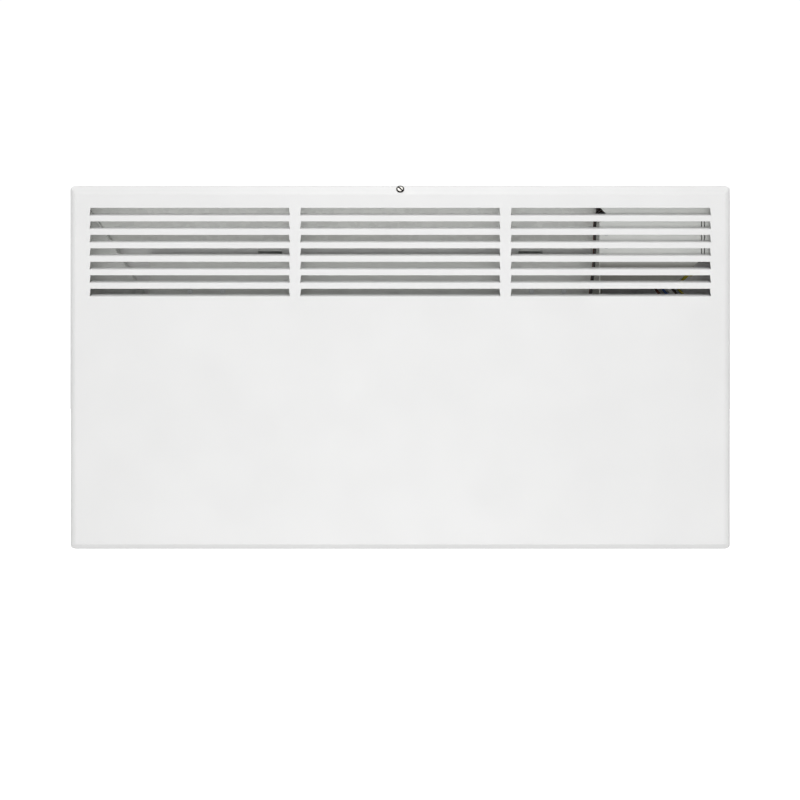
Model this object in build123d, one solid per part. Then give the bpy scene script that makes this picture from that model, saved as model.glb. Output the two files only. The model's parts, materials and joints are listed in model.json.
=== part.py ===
from build123d import *
import math
import os

# A wall-hung panel convector heater, in millimetres.
# X runs to the right as seen from the room, Y into the wall, Z up.
# The origin is on the wall, at the centre of the wall bracket's screw pattern.

# Overall
cover_w = 728.0
cover_h = 400.0
depth = 80.0
wall_gap = 14.0
top_above_screws = 95.0

# The cover for which the places given below are drawn, and the parts of it that keep their places
drawn_w = 728.0
drawn_h = 400.0
side_zone = 200.0
top_zone = 130.0

# Sheets and fits
cover_sheet = 1.0
case_sheet = 1.0
plate_sheet = 0.8
bracket_sheet = 1.5
case_fit = 0.4
seat = 0.2
slip = 0.05

# Front cover: folded edges
strip_h = 10.3
strip_back = 4.5
sill_h = 6.0
sill_back = 5.0
side_bend = 9.5
corner_r = 7.5
crease_r = 1.8
rear_inset = 20.0
lip_depth = 20.0
lip_corner = 12.0

# Front cover: louvres
slot_groups = 3
slot_rows = 7
slot_margin = 22.95
slot_taper = 1.05
slot_h = 9.53
slot_pitch = 14.79
slot_first = 24.8
mullion = 11.0
flap_fold = 70.0
flap_inner_r = 0.6

# Front cover: window for the controls in the right side
window_y = 36.0
window_z = 64.0
window_r = 4.0
window_rear = 26.0
window_drop = 16.0

# Front cover: tongues that stand in the case's floor
tongue_w = 20.0
tongue_h = 9.0
tongue_pitch = 270.0
tongue_gap = 0.7

# Cover screw and its nut
screw_drop = 4.1
screw_head_r = 4.5
screw_head_h = 2.2
screw_head_round = 1.76
screw_slot_w = 1.2
screw_slot_deep = 1.2
screw_r = 2.0
screw_l = 10.0
screw_hole_r = 2.3
tab_w = 30.0
tab_l = 16.0
tab_below = 4.5
tab_above = 3.0
tab_rivet_x = 10.0
tab_rivet_back = 9.0
cover_nut_r = 3.0
cover_nut_l = 4.0

# Rear case
flange_depth = 36.0
deep_flange = 52.0
case_bend = 2.0
inlet_w = 24.0
inlet_d = 5.0
inlet_columns = 16
inlet_rows = 3
inlet_pitch_x = 30.0
inlet_pitch_y = 10.0
inlet_first = 12.0

# Wall bracket and its hooks
bracket_w = 410.0
bracket_h = 60.0
bracket_clear = 0.5
bracket_hole_x = 340.0
bracket_hole_z = 36.0
bracket_hole_r = 2.75
bracket_hole_l = 12.0
hook_x = 150.0
hook_w = 26.0
hook_room = 2.5
hook_lip = 9.0
hook_side_gap = 1.0
hook_tip_r = 3.0
lift_spare = 1.0

# Rubber wall spacers
spacer_at = 318.0
spacer_drop = 372.0
spacer_r = 9.0
spacer_taper = 1.5
spacer_stem_r = 3.5
spacer_knob_r = 4.6
spacer_knob_l = 4.0

# Foot plates inside the underside
foot_at = 302.0
foot_plate_w = 51.0
foot_plate_d = 40.0
foot_plate_t = 2.0
foot_hole_r = 2.6
foot_spacing = 26.0
foot_y = 40.0

# Air chamber
partition_at = 220.3
partition_top = 32.0
flange_w = 12.0
flange_rivet_x = 7.2
partition_rivet_drops = [60.0, 200.0, 360.0]
guide_rivet_drops = [150.0, 260.0, 360.0]
behind_flaps = 9.5
guide_top_at = -352.0
guide_top = 16.0
guide_foot_at = -288.0
guide_knee = 125.0
apron_top_y = 50.0
apron_gap = 1.0
apron_lead = 6.0
deflector_low = 61.5
deflector_low_y = 24.0
deflector_top_y = 64.0
deflector_flange = 14.0
deflector_rivet_x = 120.0
deflector_rivet_back = 9.0
shield_gap = 10.0
shield_top = 70.5
shield_bottom = 380.0
front_shield_top = 134.0
front_shield_bottom = 386.0
front_shield_y = 73.0
front_shield_flange = 10.0
end_gap = 0.5

# Heat shield stand-offs and their rivets
standoff_w = 52.0
standoff_foot = 14.0
standoff_drop = 113.0
standoff_half_span = 195.0
standoff_rivet_pitch = 37.0
rivet_r = 1.6
rivet_head_r = 3.2
rivet_head_h = 1.0
rivet_round = 0.7
rivet_tail_r = 2.4
rivet_tail_h = 1.4

# Heating element
element_left_at = -216.5
element_right_at = 163.5
element_drop = 290.0
element_y = 49.0
fin_pitch = 6.0
fin_t = 0.8
fin_h = 64.0
fin_d = 34.0
fin_corner = 5.0
collar_r = 5.6
rod_r = 4.0
rod_apart = 30.0
rod_overhang = 14.0
bush_r = 5.5
bush_l = 9.0
bush_chamfer = 0.8
pin_r = 1.5
pin_l = 9.0
link_w = 8.0
link_t = 0.8
link_back = 1.0
holder_t = 1.2
holder_w = 30.0
holder_h = 76.0
holder_foot = 14.0
holder_gap = 3.0
holder_rivet_x = 7.7
holder_rivet_z = 22.8

# Overheat cut-out on the partition
limiter_drop = 168.0
limiter_y = 48.0
limiter_r = 8.0
limiter_h = 9.0
limiter_flange_w = 12.0
limiter_flange_h = 32.0
limiter_flange_t = 0.6
limiter_tab_apart = 9.0
limiter_rivet_z = 12.8

# Spade tabs and the sleeves pushed onto them
spade_w = 6.3
spade_t = 0.8
spade_l = 8.0
sleeve_w = 8.0
sleeve_t = 4.0
sleeve_l = 14.0
sleeve_gap = 1.0
sleeve_round = 0.5
small_spade_w = 3.2
small_sleeve_w = 5.0
small_sleeve_l = 12.0

# Control shield behind the right group of louvres
shield_right_at = 356.0
control_shield_top = 3.6
control_shield_bottom = 78.0
control_shield_lip = 5.5
baffle_bottom = 110.0
baffle_back = 26.5
baffle_right_top_at = 335.5
baffle_right_low_at = 305.0
notch_left_at = 221.2
notch_right_at = 229.3
notch_top = 23.5
notch_bottom = 32.0
slit_at = 333.0
slit_apart = 3.3
slit_w = 1.0
slit_top = 35.0
slit_end = 2.0
shield_screw_r = 1.9
shield_screw_head_r = 3.6
shield_screw_head_h = 1.8
shield_screw_round = 0.9
shield_screw_rows = [1, 2]
shield_screw_share = 0.75
shield_screw_at = 227.7
cross_w = 0.9

# Control panel: the pocket behind the window
pocket_wall = 1.6
pocket_deep = 24.0
pocket_rim = 3.0
pocket_rim_t = 1.4
pocket_r = 4.0
lug_w = 12.0
lug_hole_r = 1.7
lug_drops = [24.0, 72.0]
panel_screw_r = 1.65
panel_screw_head_r = 3.4
panel_screw_head_h = 1.8
panel_screw_round = 1.1
panel_screw_l = 9.0

# Thermostat and its knob
knob_drop = 33.5
knob_y = 44.0
knob_r = 13.0
knob_h = 15.0
knob_skirt_h = 3.0
knob_grip_r = 10.5
knob_flutes = 16
knob_flute_r = 1.3
knob_flute_share = 0.45
knob_round = 1.2
pointer_w = 1.8
pointer_h = 0.8
pointer_end = 1.5
knob_gap = 0.8
knob_bore_deep = 12.0
spindle_r = 3.0
spindle_flat = 1.0
spindle_flat_gap = 0.5
neck_r = 5.0
neck_l = 6.5
nut_across = 14.0
nut_t = 2.0
nut_room = 0.6
thermo_x = 26.0
thermo_y = 34.0
thermo_z = 30.0
thermo_tab_y = 11.0
thermo_tab_z = 7.0
thermo_round = 2.0

# Rocker switches
rocker_drop = 64.5
rocker_ys = [53.0, 35.0]
bezel_y = 15.0
bezel_z = 21.0
bezel_t = 2.0
bezel_round = 0.7
switch_y = 12.6
switch_z = 19.0
switch_deep = 20.0
well_y = 9.6
well_r = 8.6
well_deep = 9.0
rocker_gap = 0.3
rocker_tilt = 9.0
rocker_pivot = 3.0
rocker_rise = 5.0
rocker_fall = 3.4
axle_r = 1.0
axle_slip = 0.06
axle_l = 1.0
switch_tab_pitch = 6.0

# Terminal block, earth stud, cable gland and clip
block_at = 282.0
block_drop = 262.0
block_w = 46.0
block_h = 20.0
block_d = 20.0
pole_pitch = 14.0
pole_hole_r = 2.4
pole_hole_deep = 6.0
pole_screw_r = 2.0
pole_screw_h = 1.2
pole_screw_z = 5.0
pole_slot_w = 0.6
pole_slot_deep = 0.6
pole_run_drop = 245.0
barrier_t = 1.2
barrier_h = 2.5
stud_at = 334.0
stud_drop = 90.0
stud_r = 2.5
stud_l = 14.0
stud_nut_across = 8.0
stud_nut_t = 3.2
eyelet_r = 5.0
eyelet_t = 1.0
crimp_l = 6.0
crimp_wall = 0.3
lug_turn = 45.0
gland_at = 252.0
gland_y = 38.0
gland_bore_r = 3.8
gland_body_r = 6.5
gland_flange_r = 9.0
gland_flange_t = 2.4
gland_above = 9.0
gland_catch_r = 8.0
gland_chamfer = 1.5
clip_at = 246.0
clip_drop = 340.0
clip_bore_r = 3.9
clip_wall = 2.2
clip_width = 9.0
clip_foot_l = 14.9
clip_foot_t = 3.3
clip_hole_out = 6.6
clip_screw_r = 1.7
clip_screw_head_r = 2.7
clip_screw_head_h = 1.6
clip_screw_round = 0.8

# Sensor bulb and its capillary
bulb_at = 300.0
bulb_y = 44.0
bulb_drop = 384.0
bulb_r = 3.2
bulb_l = 70.0
bulb_round = 1.9
bulb_clip_t = 1.0
bulb_clip_w = 8.0
capillary_r = 0.9

# Wires
wire_r = 1.4
sleeved_r = 2.6
largest_bend = 26.0
bend_share = 0.45
grommet_drop = 282.0
grommet_y = 40.0
grommet_r = 7.0
grommet_bore_r = 5.4
grommet_lip_r = 9.0
grommet_lip_t = 1.5
stage_one_y = -1.8
side_wire_y = 3.0
side_wire_z = 2.2
floor_lane_at = -246.0
floor_lane_y = 4.6
floor_lane_run = 54.0
jumper_apart = 4.0
jumper_reach = 9.0
straight_end = 7.0
grommet_run = 7.0

# Places worked out from the sizes above
top_z = top_above_screws
bottom_z = top_z - cover_h


def across(x):
    """The place of a point along the cover: near a side it keeps its distance from that side."""
    share = max(-1.0, min(1.0, x / side_zone))
    return x + share * (cover_w - drawn_w) / 2


def drop(distance):
    """The height of a point this far below the cover's top; below the top zone it follows the cover's height."""
    past = max(0.0, distance - top_zone)
    return top_z - distance - past * (cover_h - drawn_h) / (drawn_h - top_zone)


front_y = -depth
case_back_y = -wall_gap
case_in_y = case_back_y - case_sheet
case_w = cover_w - 2 * (cover_sheet + case_fit)
case_top_z = top_z - cover_sheet - case_fit
case_bottom_z = bottom_z + cover_sheet + case_fit
case_h = case_top_z - case_bottom_z
roof_z = case_top_z - case_sheet
floor_z = case_bottom_z + case_sheet
roof_front_y = case_back_y - deep_flange
slot_w = (cover_w - 2 * slot_margin - (slot_groups - 1) * mullion) / slot_groups
partition_x = across(partition_at)
guide_top_x = across(guide_top_at)
guide_foot_x = across(guide_foot_at)
spacer_x = across(spacer_at)
foot_x = across(foot_at)
shield_right_x = across(shield_right_at)
shield_screw_x = across(shield_screw_at)
notch_left_x = across(notch_left_at)
notch_right_x = across(notch_right_at)
slit_x = across(slit_at)
block_x = across(block_at)
stud_x = across(stud_at)
gland_x = across(gland_at)
clip_x = across(clip_at)
bulb_x = across(bulb_at)
shield_front_y = front_y + behind_flaps
tab_rear_depth = cover_sheet + seat + case_sheet
cover_rear_y = -rear_inset
cover_side_x = cover_w / 2
case_side_x = case_w / 2
lip_rear_y = front_y + lip_depth
window_mid_y = -window_rear - window_y / 2
window_mid_z = top_z - window_drop - window_z / 2
pocket_floor_x = cover_side_x - pocket_deep
pocket_back_x = pocket_floor_x - pocket_wall
pocket_rim_x = cover_side_x - cover_sheet - case_fit
shield_back_y = case_in_y - shield_gap
shield_face_y = shield_back_y - plate_sheet
element_z = drop(element_drop)
rod_zs = [element_z - rod_apart / 2, element_z + rod_apart / 2]
element_left = across(element_left_at)
element_right = across(element_right_at)
element_x = (element_left + element_right) / 2
element_l = element_right - element_left
rod_left = element_left - rod_overhang
rod_right = element_right + rod_overhang
hook_top_z = bracket_h / 2
knob_z = top_z - knob_drop
rocker_z = top_z - rocker_drop
SIDE = Plane(origin=(0, 0, 0), x_dir=(0, 1, 0), z_dir=(1, 0, 0))


def block(x0, x1, y0, y1, z0, z1):
    """A box between two corners."""
    return Pos((x0 + x1) / 2, (y0 + y1) / 2, (z0 + z1) / 2) * Box(x1 - x0, y1 - y0, z1 - z0)


def rod_x(radius, x0, x1, y, z):
    """A round bar along X."""
    return Pos((x0 + x1) / 2, y, z) * Rot(0, 90, 0) * Cylinder(radius, x1 - x0)


def rod_y(radius, y0, y1, x, z):
    """A round bar along Y."""
    return Pos(x, (y0 + y1) / 2, z) * Rot(90, 0, 0) * Cylinder(radius, y1 - y0)


def rod_z(radius, z0, z1, x, y):
    """A round bar along Z."""
    return Pos(x, y, (z0 + z1) / 2) * Cylinder(radius, z1 - z0)


def prism_x(points, x0, x1):
    """An outline of (y, z) points, from x0 to x1."""
    return extrude(SIDE.offset(x0) * make_face(Polyline(*points, close=True)), x1 - x0)


def prism_y(points, y0, y1):
    """An outline of (x, z) points, from y0 to y1."""
    return extrude(Plane.XZ.offset(-y1) * make_face(Polyline(*points, close=True)), y1 - y0)


def prism_z(points, z0, z1):
    """An outline of (x, y) points, from z0 to z1."""
    return extrude(Plane.XY.offset(z0) * make_face(Polyline(*points, close=True)), z1 - z0)


def beside(points, distance):
    """A line that runs beside the points, at this distance to their left."""
    runs = [Vector(b[0] - a[0], b[1] - a[1]).normalized() for a, b in zip(points, points[1:])]
    other = []
    for i, point in enumerate(points):
        before = runs[max(i - 1, 0)]
        after = runs[min(i, len(runs) - 1)]
        left_before = Vector(-before.Y, before.X)
        left_after = Vector(-after.Y, after.X)
        mitre = (left_before + left_after) / (1 + left_before.dot(left_after))
        other.append((point[0] + distance * mitre.X, point[1] + distance * mitre.Y))
    return other


def folded(points, thickness):
    """The outline of a folded sheet: one face runs along the points, the other lies to their left."""
    return list(points) + beside(points, thickness)[::-1]


def wire_path(points):
    """Straight runs joined by tangent arcs, each as large as its two runs allow."""
    corners = [Vector(*point) for point in points]
    radii = []
    for before, corner, after in zip(corners, corners[1:], corners[2:]):
        turn = math.radians((corner - before).get_angle(after - corner))
        shorter = min((corner - before).length, (after - corner).length)
        radii.append(min(largest_bend, bend_share * shorter / math.tan(turn / 2)))
    return FilletPolyline(*corners, radius=radii), radii


def tube(name, points, radius):
    """A round tube along a path, with its tightest bend printed."""
    path, radii = wire_path(points)
    start = Plane(origin=path @ 0, z_dir=path % 0)
    solid = sweep(start * Circle(radius), path=path)
    expected = math.pi * radius * radius * path.length
    print(f"{name}: tightest bend {min(radii):.1f}, volume over section times length {solid.volume / expected:.4f}")
    return solid


def sleeve(body_x, y, z, half_y, half_z, tab_half_y, tab_half_z):
    """The insulated receptacle on a tab that points left out of a body's face at body_x."""
    right = body_x - sleeve_gap
    outer = block(right - sleeve_l, right, y - half_y, y + half_y, z - half_z, z + half_z)
    outer = fillet(outer.edges().group_by(Axis.X)[0], sleeve_round)
    return outer - block(body_x - spade_l - seat, body_x, y - tab_half_y - slip, y + tab_half_y + slip,
                         z - tab_half_z - slip, z + tab_half_z + slip)


def upright_sleeve(body_x, y, z):
    """A receptacle on a tab that stands upright."""
    return sleeve(body_x, y, z, sleeve_t / 2, sleeve_w / 2, spade_t / 2, spade_w / 2)


def flat_sleeve(body_x, y, z):
    """A receptacle on a tab that lies flat."""
    return sleeve(body_x, y, z, sleeve_w / 2, sleeve_t / 2, spade_w / 2, spade_t / 2)


def limiter_sleeve(y):
    """The small receptacle on one of the cut-out's tabs, which point up."""
    x = partition_x - limiter_flange_t - limiter_h - spade_t / 2
    low = drop(limiter_drop) + limiter_r
    half = small_sleeve_w / 2
    tab_half = small_spade_w / 2 + slip
    outer = block(x - sleeve_t / 2, x + sleeve_t / 2, y - half, y + half,
                  low + sleeve_gap, low + sleeve_gap + small_sleeve_l)
    return outer - block(x - spade_t / 2 - slip, x + spade_t / 2 + slip, y - tab_half, y + tab_half,
                         low, low + spade_l + seat)


def rivet_y(x, z, head_y, tail_y):
    """A blind rivet along Y, with its head at head_y facing the room and its tail at tail_y."""
    shank = rod_y(rivet_r, head_y, tail_y, x, z)
    head = rod_y(rivet_head_r, head_y - rivet_head_h, head_y, x, z)
    head = fillet(head.edges().group_by(Axis.Y)[0], rivet_round)
    tail = rod_y(rivet_tail_r, tail_y, tail_y + rivet_tail_h, x, z)
    return shank + head + tail


def rivet_holes_y(places, y0, y1):
    """Clearance holes for rivets along Y."""
    return [rod_y(rivet_r + slip, y0 - 1, y1 + 1, x, z) for x, z in places]


def cover_block(inset, extra):
    """The cover's closed outer form, drawn in by inset and carried back by extra."""
    rear = cover_rear_y + extra
    outline = [
        (rear, top_z),
        (front_y + strip_back, top_z),
        (front_y, top_z - strip_h),
        (front_y, bottom_z + sill_h),
        (front_y + sill_back, bottom_z),
        (rear, bottom_z),
    ]
    side = make_face(Polyline(*beside(outline, inset), close=True))
    creases = side.vertices().filter_by(lambda v: v.X < rear - 1)
    side = fillet(creases, crease_r - inset)
    along = extrude(SIDE.offset(-cover_side_x + inset) * side, cover_w - 2 * inset)
    plan = RectangleRounded(cover_w - 2 * inset, 2 * depth - 2 * inset, side_bend - inset)
    plan = extrude(Plane.XY.offset(bottom_z) * plan, cover_h)
    face = RectangleRounded(cover_w - 2 * inset, cover_h - 2 * inset, corner_r - inset)
    face = extrude(Plane.XZ.offset(-depth) * (Pos(0, (top_z + bottom_z) / 2) * face), 2 * depth)
    return along & plan & face


def slot_places():
    """For each louvre: the middle of its width, and the height of its cut edge."""
    step = slot_w + mullion
    columns = [(i - (slot_groups - 1) / 2) * step for i in range(slot_groups)]
    rows = [drop(slot_first + i * slot_pitch) for i in range(slot_rows)]
    return [(x, z) for x in columns for z in rows]


def slot_cut(x, z):
    """The opening of one louvre through the front sheet."""
    half = slot_w / 2
    low = z - slot_h
    outline = [(x - half, low), (x + half, low), (x + half - slot_taper, z), (x - half + slot_taper, z)]
    return prism_y(outline, front_y - 1, front_y + cover_sheet + 1)


def louvre_flap():
    """The flap lanced out of a slot and folded inwards, for a slot whose cut edge is at height 0."""
    angle = math.radians(flap_fold)
    low = -slot_h
    outer_r = flap_inner_r + cover_sheet
    middle_y = front_y + outer_r
    straight = slot_h - angle * (flap_inner_r + cover_sheet / 2)

    def on_arc(radius, turn):
        return (middle_y - radius * math.cos(turn), low + radius * math.sin(turn))

    def along(point):
        return (point[0] + straight * math.sin(angle), point[1] + straight * math.cos(angle))

    outer = [on_arc(outer_r, share * angle) for share in (0, 0.5, 1)]
    inner = [on_arc(flap_inner_r, share * angle) for share in (0, 0.5, 1)]
    outline = [
        ThreePointArc(*outer),
        Line(outer[2], along(outer[2])),
        Line(along(outer[2]), along(inner[2])),
        Line(along(inner[2]), inner[2]),
        ThreePointArc(*inner[::-1]),
        Line(inner[0], outer[0]),
    ]
    flap = extrude(SIDE.offset(-slot_w / 2) * make_face(outline), slot_w)
    half = slot_w / 2
    tip = half - slot_taper
    far = front_y + slot_h
    plan = [(-half, front_y - 1), (half, front_y - 1), (half, front_y), (tip, far), (-tip, far), (-half, front_y)]
    return flap & prism_z(plan, low - slot_h, slot_h)


def window_prism(grow, radius, x0, x1):
    """The window's rounded outline, grown all round, from x0 to x1."""
    outline = RectangleRounded(window_y + 2 * grow, window_z + 2 * grow, radius)
    return extrude(SIDE.offset(x0) * (Pos(window_mid_y, window_mid_z) * outline), x1 - x0)


def strip_plane():
    """On the sloped strip at the cover screw: X to the right, Y up the slope, Z out of it."""
    lean = math.atan2(strip_back, strip_h)
    y = front_y + strip_back - strip_back * screw_drop / strip_h
    out = (0, -math.cos(lean), math.sin(lean))
    return Plane(origin=(0, y, drop(screw_drop)), x_dir=(1, 0, 0), z_dir=out)


def tongue_xs():
    return [-tongue_pitch, 0, tongue_pitch]


def front_cover():
    shell = cover_block(0, 0) - cover_block(cover_sheet, flange_depth)
    underside = block(-cover_side_x + lip_corner, cover_side_x - lip_corner, lip_rear_y, 0,
                      bottom_z - 1, bottom_z + cover_sheet + case_fit)
    flap = louvre_flap()
    cuts = [underside]
    cuts += [slot_cut(x, z) for x, z in slot_places()]
    cuts.append(strip_plane() * Cylinder(screw_hole_r, 3 * cover_sheet))
    cuts.append(window_prism(0, window_r, cover_side_x - 3 * cover_sheet, cover_side_x + 1))
    adds = [Pos(x, 0, z) * flap for x, z in slot_places()]
    for x in tongue_xs():
        adds.append(block(x - tongue_w / 2, x + tongue_w / 2, lip_rear_y - cover_sheet, lip_rear_y,
                          bottom_z + cover_sheet / 2, bottom_z + tongue_h))
    return (shell - cuts) + adds


def cover_screw():
    head = Cylinder(screw_head_r, screw_head_h, align=(Align.CENTER, Align.CENTER, Align.MIN))
    head = fillet(head.edges().sort_by(Axis.Z)[-1], screw_head_round)
    slot = Pos(0, 0, screw_head_h) * Rot(0, 0, -45) * Box(3 * screw_head_r, screw_slot_w, 2 * screw_slot_deep)
    shank = Cylinder(screw_r, screw_l, align=(Align.CENTER, Align.CENTER, Align.MAX))
    return strip_plane() * (head - slot + shank)


def cover_nut():
    """The nut pressed onto the tab's rear face."""
    barrel = Cylinder(cover_nut_r, cover_nut_l, align=(Align.CENTER, Align.CENTER, Align.MAX))
    bore = Cylinder(screw_r + slip, 4 * screw_l)
    return strip_plane() * (Pos(0, 0, -tab_rear_depth) * barrel - bore)


def cover_tab():
    """The folded tab under the roof that the cover's top strip is screwed to."""
    plane = strip_plane()
    rear = plane.origin - plane.z_dir * tab_rear_depth
    foot = rear - plane.y_dir * tab_below
    end = rear + plane.y_dir * tab_above
    knee = foot + plane.z_dir * ((roof_front_y - foot.Y) / plane.z_dir.Y)
    points = [(roof_front_y + tab_l, roof_z), (roof_front_y, roof_z)]
    points += [(corner.Y, corner.Z) for corner in (knee, foot, end)]
    tab = prism_x(folded(points, case_sheet), -tab_w / 2, tab_w / 2)
    holes = [plane * Cylinder(screw_hole_r, screw_l)]
    holes += roof_holes(tab_rivets())
    return tab - holes


def tab_rivets():
    """Places of the two roof rivets that hold the cover tab."""
    return [(side * tab_rivet_x, roof_front_y + tab_rivet_back) for side in (-1, 1)]


def roof_holes(places):
    """Clearance holes for rivets through the roof."""
    return [rod_z(rivet_r + slip, roof_z - 2 * case_sheet, case_top_z + 1, x, y) for x, y in places]


def deflector_rivets():
    """Places of the roof rivets that hold the air deflector."""
    y = -deflector_top_y + deflector_rivet_back
    return [(element_x + side * deflector_rivet_x, y) for side in (-1, 1)]


def roof_rivets():
    """Rivets that hang the deflector and the cover tab from the case's roof."""
    rivets = []
    for places, sheet in ((tab_rivets(), case_sheet), (deflector_rivets(), plate_sheet)):
        for x, y in places:
            low = roof_z - sheet
            shank = rod_z(rivet_r, low, case_top_z, x, y)
            tail = rod_z(rivet_tail_r, low - rivet_tail_h, low, x, y)
            rivets.append(shank + tail)
    return Compound(children=rivets)


def rear_rivet_places():
    """Places of the rivets through the rear wall, each with the sheet it holds."""
    places = []
    for distance in partition_rivet_drops:
        places.append((partition_x + plate_sheet + flange_rivet_x, drop(distance)))
    for distance in guide_rivet_drops:
        places.append((guide_foot_x - plate_sheet - flange_rivet_x, drop(distance)))
    return places


def standoff_x(side):
    """The middle of a stand-off."""
    return across((element_left_at + element_right_at) / 2 + side * standoff_half_span)


def standoff_feet():
    """Places of the rivets that hold the stand-offs to the rear wall."""
    return [(standoff_x(side), drop(standoff_drop) + standoff_foot) for side in (-1, 1)]


def shield_rivet_places():
    """The rivets seen through the lowest louvres, in two pairs."""
    places = []
    for side in (-1, 1):
        for half in (-1, 1):
            x = standoff_x(side) + half * standoff_rivet_pitch / 2
            places.append((x, drop(standoff_drop)))
    return places


def hook_slots():
    """Slots in the rear wall that the bracket's hooks reach through."""
    high = hook_lip + lift_spare + bracket_sheet + lift_spare
    half = hook_w / 2 + hook_side_gap
    return [block(side * hook_x - half, side * hook_x + half, case_in_y - 1, case_back_y + 1,
                  hook_top_z - high, hook_top_z) for side in (-1, 1)]


def inlet_slots():
    """Rows of air inlet slots across the floor below the element."""
    slots = []
    for column in range(inlet_columns):
        for row in range(inlet_rows):
            x = element_x + (column - (inlet_columns - 1) / 2) * inlet_pitch_x
            y = case_in_y - inlet_first - row * inlet_pitch_y
            outline = SlotOverall(inlet_w, inlet_d)
            slots.append(extrude(Plane.XY.offset(case_bottom_z - 1) * (Pos(x, y) * outline), 3 * case_sheet))
    return slots


def foot_holes():
    """Holes for two screws at each foot plate."""
    top = floor_z + foot_plate_t + 1
    return [rod_z(foot_hole_r, case_bottom_z - 1, top, side * foot_x, -foot_y + half * foot_spacing / 2)
            for side in (-1, 1) for half in (-1, 1)]


def lug_places():
    """Heights of the two lugs that the control panel stands on."""
    return [drop(distance) for distance in lug_drops]


def lug_x():
    return pocket_back_x + lug_w / 2


def rear_case():
    middle_z = (case_top_z + case_bottom_z) / 2
    radius = corner_r - cover_sheet - case_fit

    def tray(inset, y0, y1):
        outline = RectangleRounded(case_w - 2 * inset, case_h - 2 * inset, radius - inset)
        return extrude(Plane.XZ.offset(-y1) * (Pos(0, middle_z) * outline), y1 - y0)

    outer = tray(0, case_back_y - flange_depth, case_back_y)
    outer = fillet(outer.faces().sort_by(Axis.Y)[-1].edges(), case_bend)
    inner = tray(case_sheet, case_back_y - flange_depth - 1, case_in_y)
    inner = fillet(inner.faces().sort_by(Axis.Y)[-1].edges(), case_bend - case_sheet)
    deep = case_back_y - deep_flange
    shallow = case_back_y - flange_depth
    side = case_side_x - radius
    roof = block(-side, side, deep, shallow, roof_z, case_top_z)
    floor = block(-side, side, deep, shallow, case_bottom_z, floor_z)
    case = (outer - inner) + [roof, floor]
    cuts = hook_slots() + inlet_slots() + foot_holes()
    for x in tongue_xs():
        y = lip_rear_y - cover_sheet / 2
        half_w = tongue_w / 2 + tongue_gap
        half_y = cover_sheet / 2 + tongue_gap
        cuts.append(block(x - half_w, x + half_w, y - half_y, y + half_y, case_bottom_z - 1, floor_z + 1))
    notch = pocket_wall + pocket_rim + tongue_gap
    cuts.append(block(case_side_x - 2 * case_sheet, case_side_x + 1, shallow - 1, window_mid_y + window_y / 2 + notch,
                      window_mid_z - window_z / 2 - notch, window_mid_z + window_z / 2 + notch))
    cuts += [rod_y(spacer_stem_r + slip, case_in_y - 1, case_back_y + 1, side * spacer_x, drop(spacer_drop))
             for side in (-1, 1)]
    cuts.append(rod_z(gland_body_r + slip, case_bottom_z - 1, floor_z + 1, gland_x, -gland_y))
    cuts += [rod_y(lug_hole_r, case_in_y - 1, case_back_y + 1, lug_x(), z) for z in lug_places()]
    cuts += rivet_holes_y(rear_rivet_places() + standoff_feet(), case_in_y, case_back_y)
    cuts += roof_holes(tab_rivets() + deflector_rivets())
    return case - cuts


def wall_bracket():
    back = -wall_gap + bracket_clear
    low = -bracket_h / 2
    outline = folded([(back, low), (0, low), (0, -low), (back, -low)], bracket_sheet)
    channel = prism_x(outline, -bracket_w / 2, bracket_w / 2)
    channel = fillet(channel.edges().filter_by(Axis.X).filter_by(lambda e: abs(e.center().Y) < slip), bracket_sheet)
    lip_y = case_in_y - hook_room
    tip = hook_top_z + hook_lip
    hook = folded([(lip_y - bracket_sheet, tip), (lip_y - bracket_sheet, hook_top_z - bracket_sheet),
                   (back, hook_top_z - bracket_sheet)], bracket_sheet)
    hooks = []
    for side in (-1, 1):
        one = prism_x(hook, side * hook_x - hook_w / 2, side * hook_x + hook_w / 2)
        tips = one.edges().filter_by(Axis.Y).filter_by(lambda e: e.center().Z > tip - slip)
        hooks.append(fillet(tips, hook_tip_r))
    holes = []
    for side_x in (-1, 1):
        for side_z in (-1, 1):
            slot = Pos(side_x * bracket_hole_x / 2, side_z * bracket_hole_z / 2) * SlotOverall(
                bracket_hole_l, 2 * bracket_hole_r)
            holes.append(extrude(Plane.XZ.offset(-1) * slot, 2 + bracket_sheet))
    return (channel + hooks) - holes


def wall_spacer(side):
    """A rubber stand-off pressed into the rear wall, which keeps the heater's foot off the wall."""
    x = side * spacer_x
    z = drop(spacer_drop)
    body = Plane(origin=(x, case_back_y, z), z_dir=(0, 1, 0)) * Cone(
        spacer_r, spacer_r - spacer_taper, wall_gap, align=(Align.CENTER, Align.CENTER, Align.MIN))
    body = fillet(body.edges().sort_by(Axis.Y)[-1], spacer_taper / 2)
    stem = rod_y(spacer_stem_r, case_in_y, case_back_y, x, z)
    knob = rod_y(spacer_knob_r, case_in_y - spacer_knob_l, case_in_y, x, z)
    knob = chamfer(knob.edges().sort_by(Axis.Y)[0], spacer_taper)
    return body + stem + knob


def foot_plate(side):
    """A threaded plate inside the floor, for a screw-on foot."""
    half_w = foot_plate_w / 2
    half_d = foot_plate_d / 2
    x = side * foot_x
    plate = block(x - half_w, x + half_w, -foot_y - half_d, -foot_y + half_d, floor_z, floor_z + foot_plate_t)
    plate = fillet(plate.edges().filter_by(Axis.Z), foot_plate_t)
    return plate - foot_holes()


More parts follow.
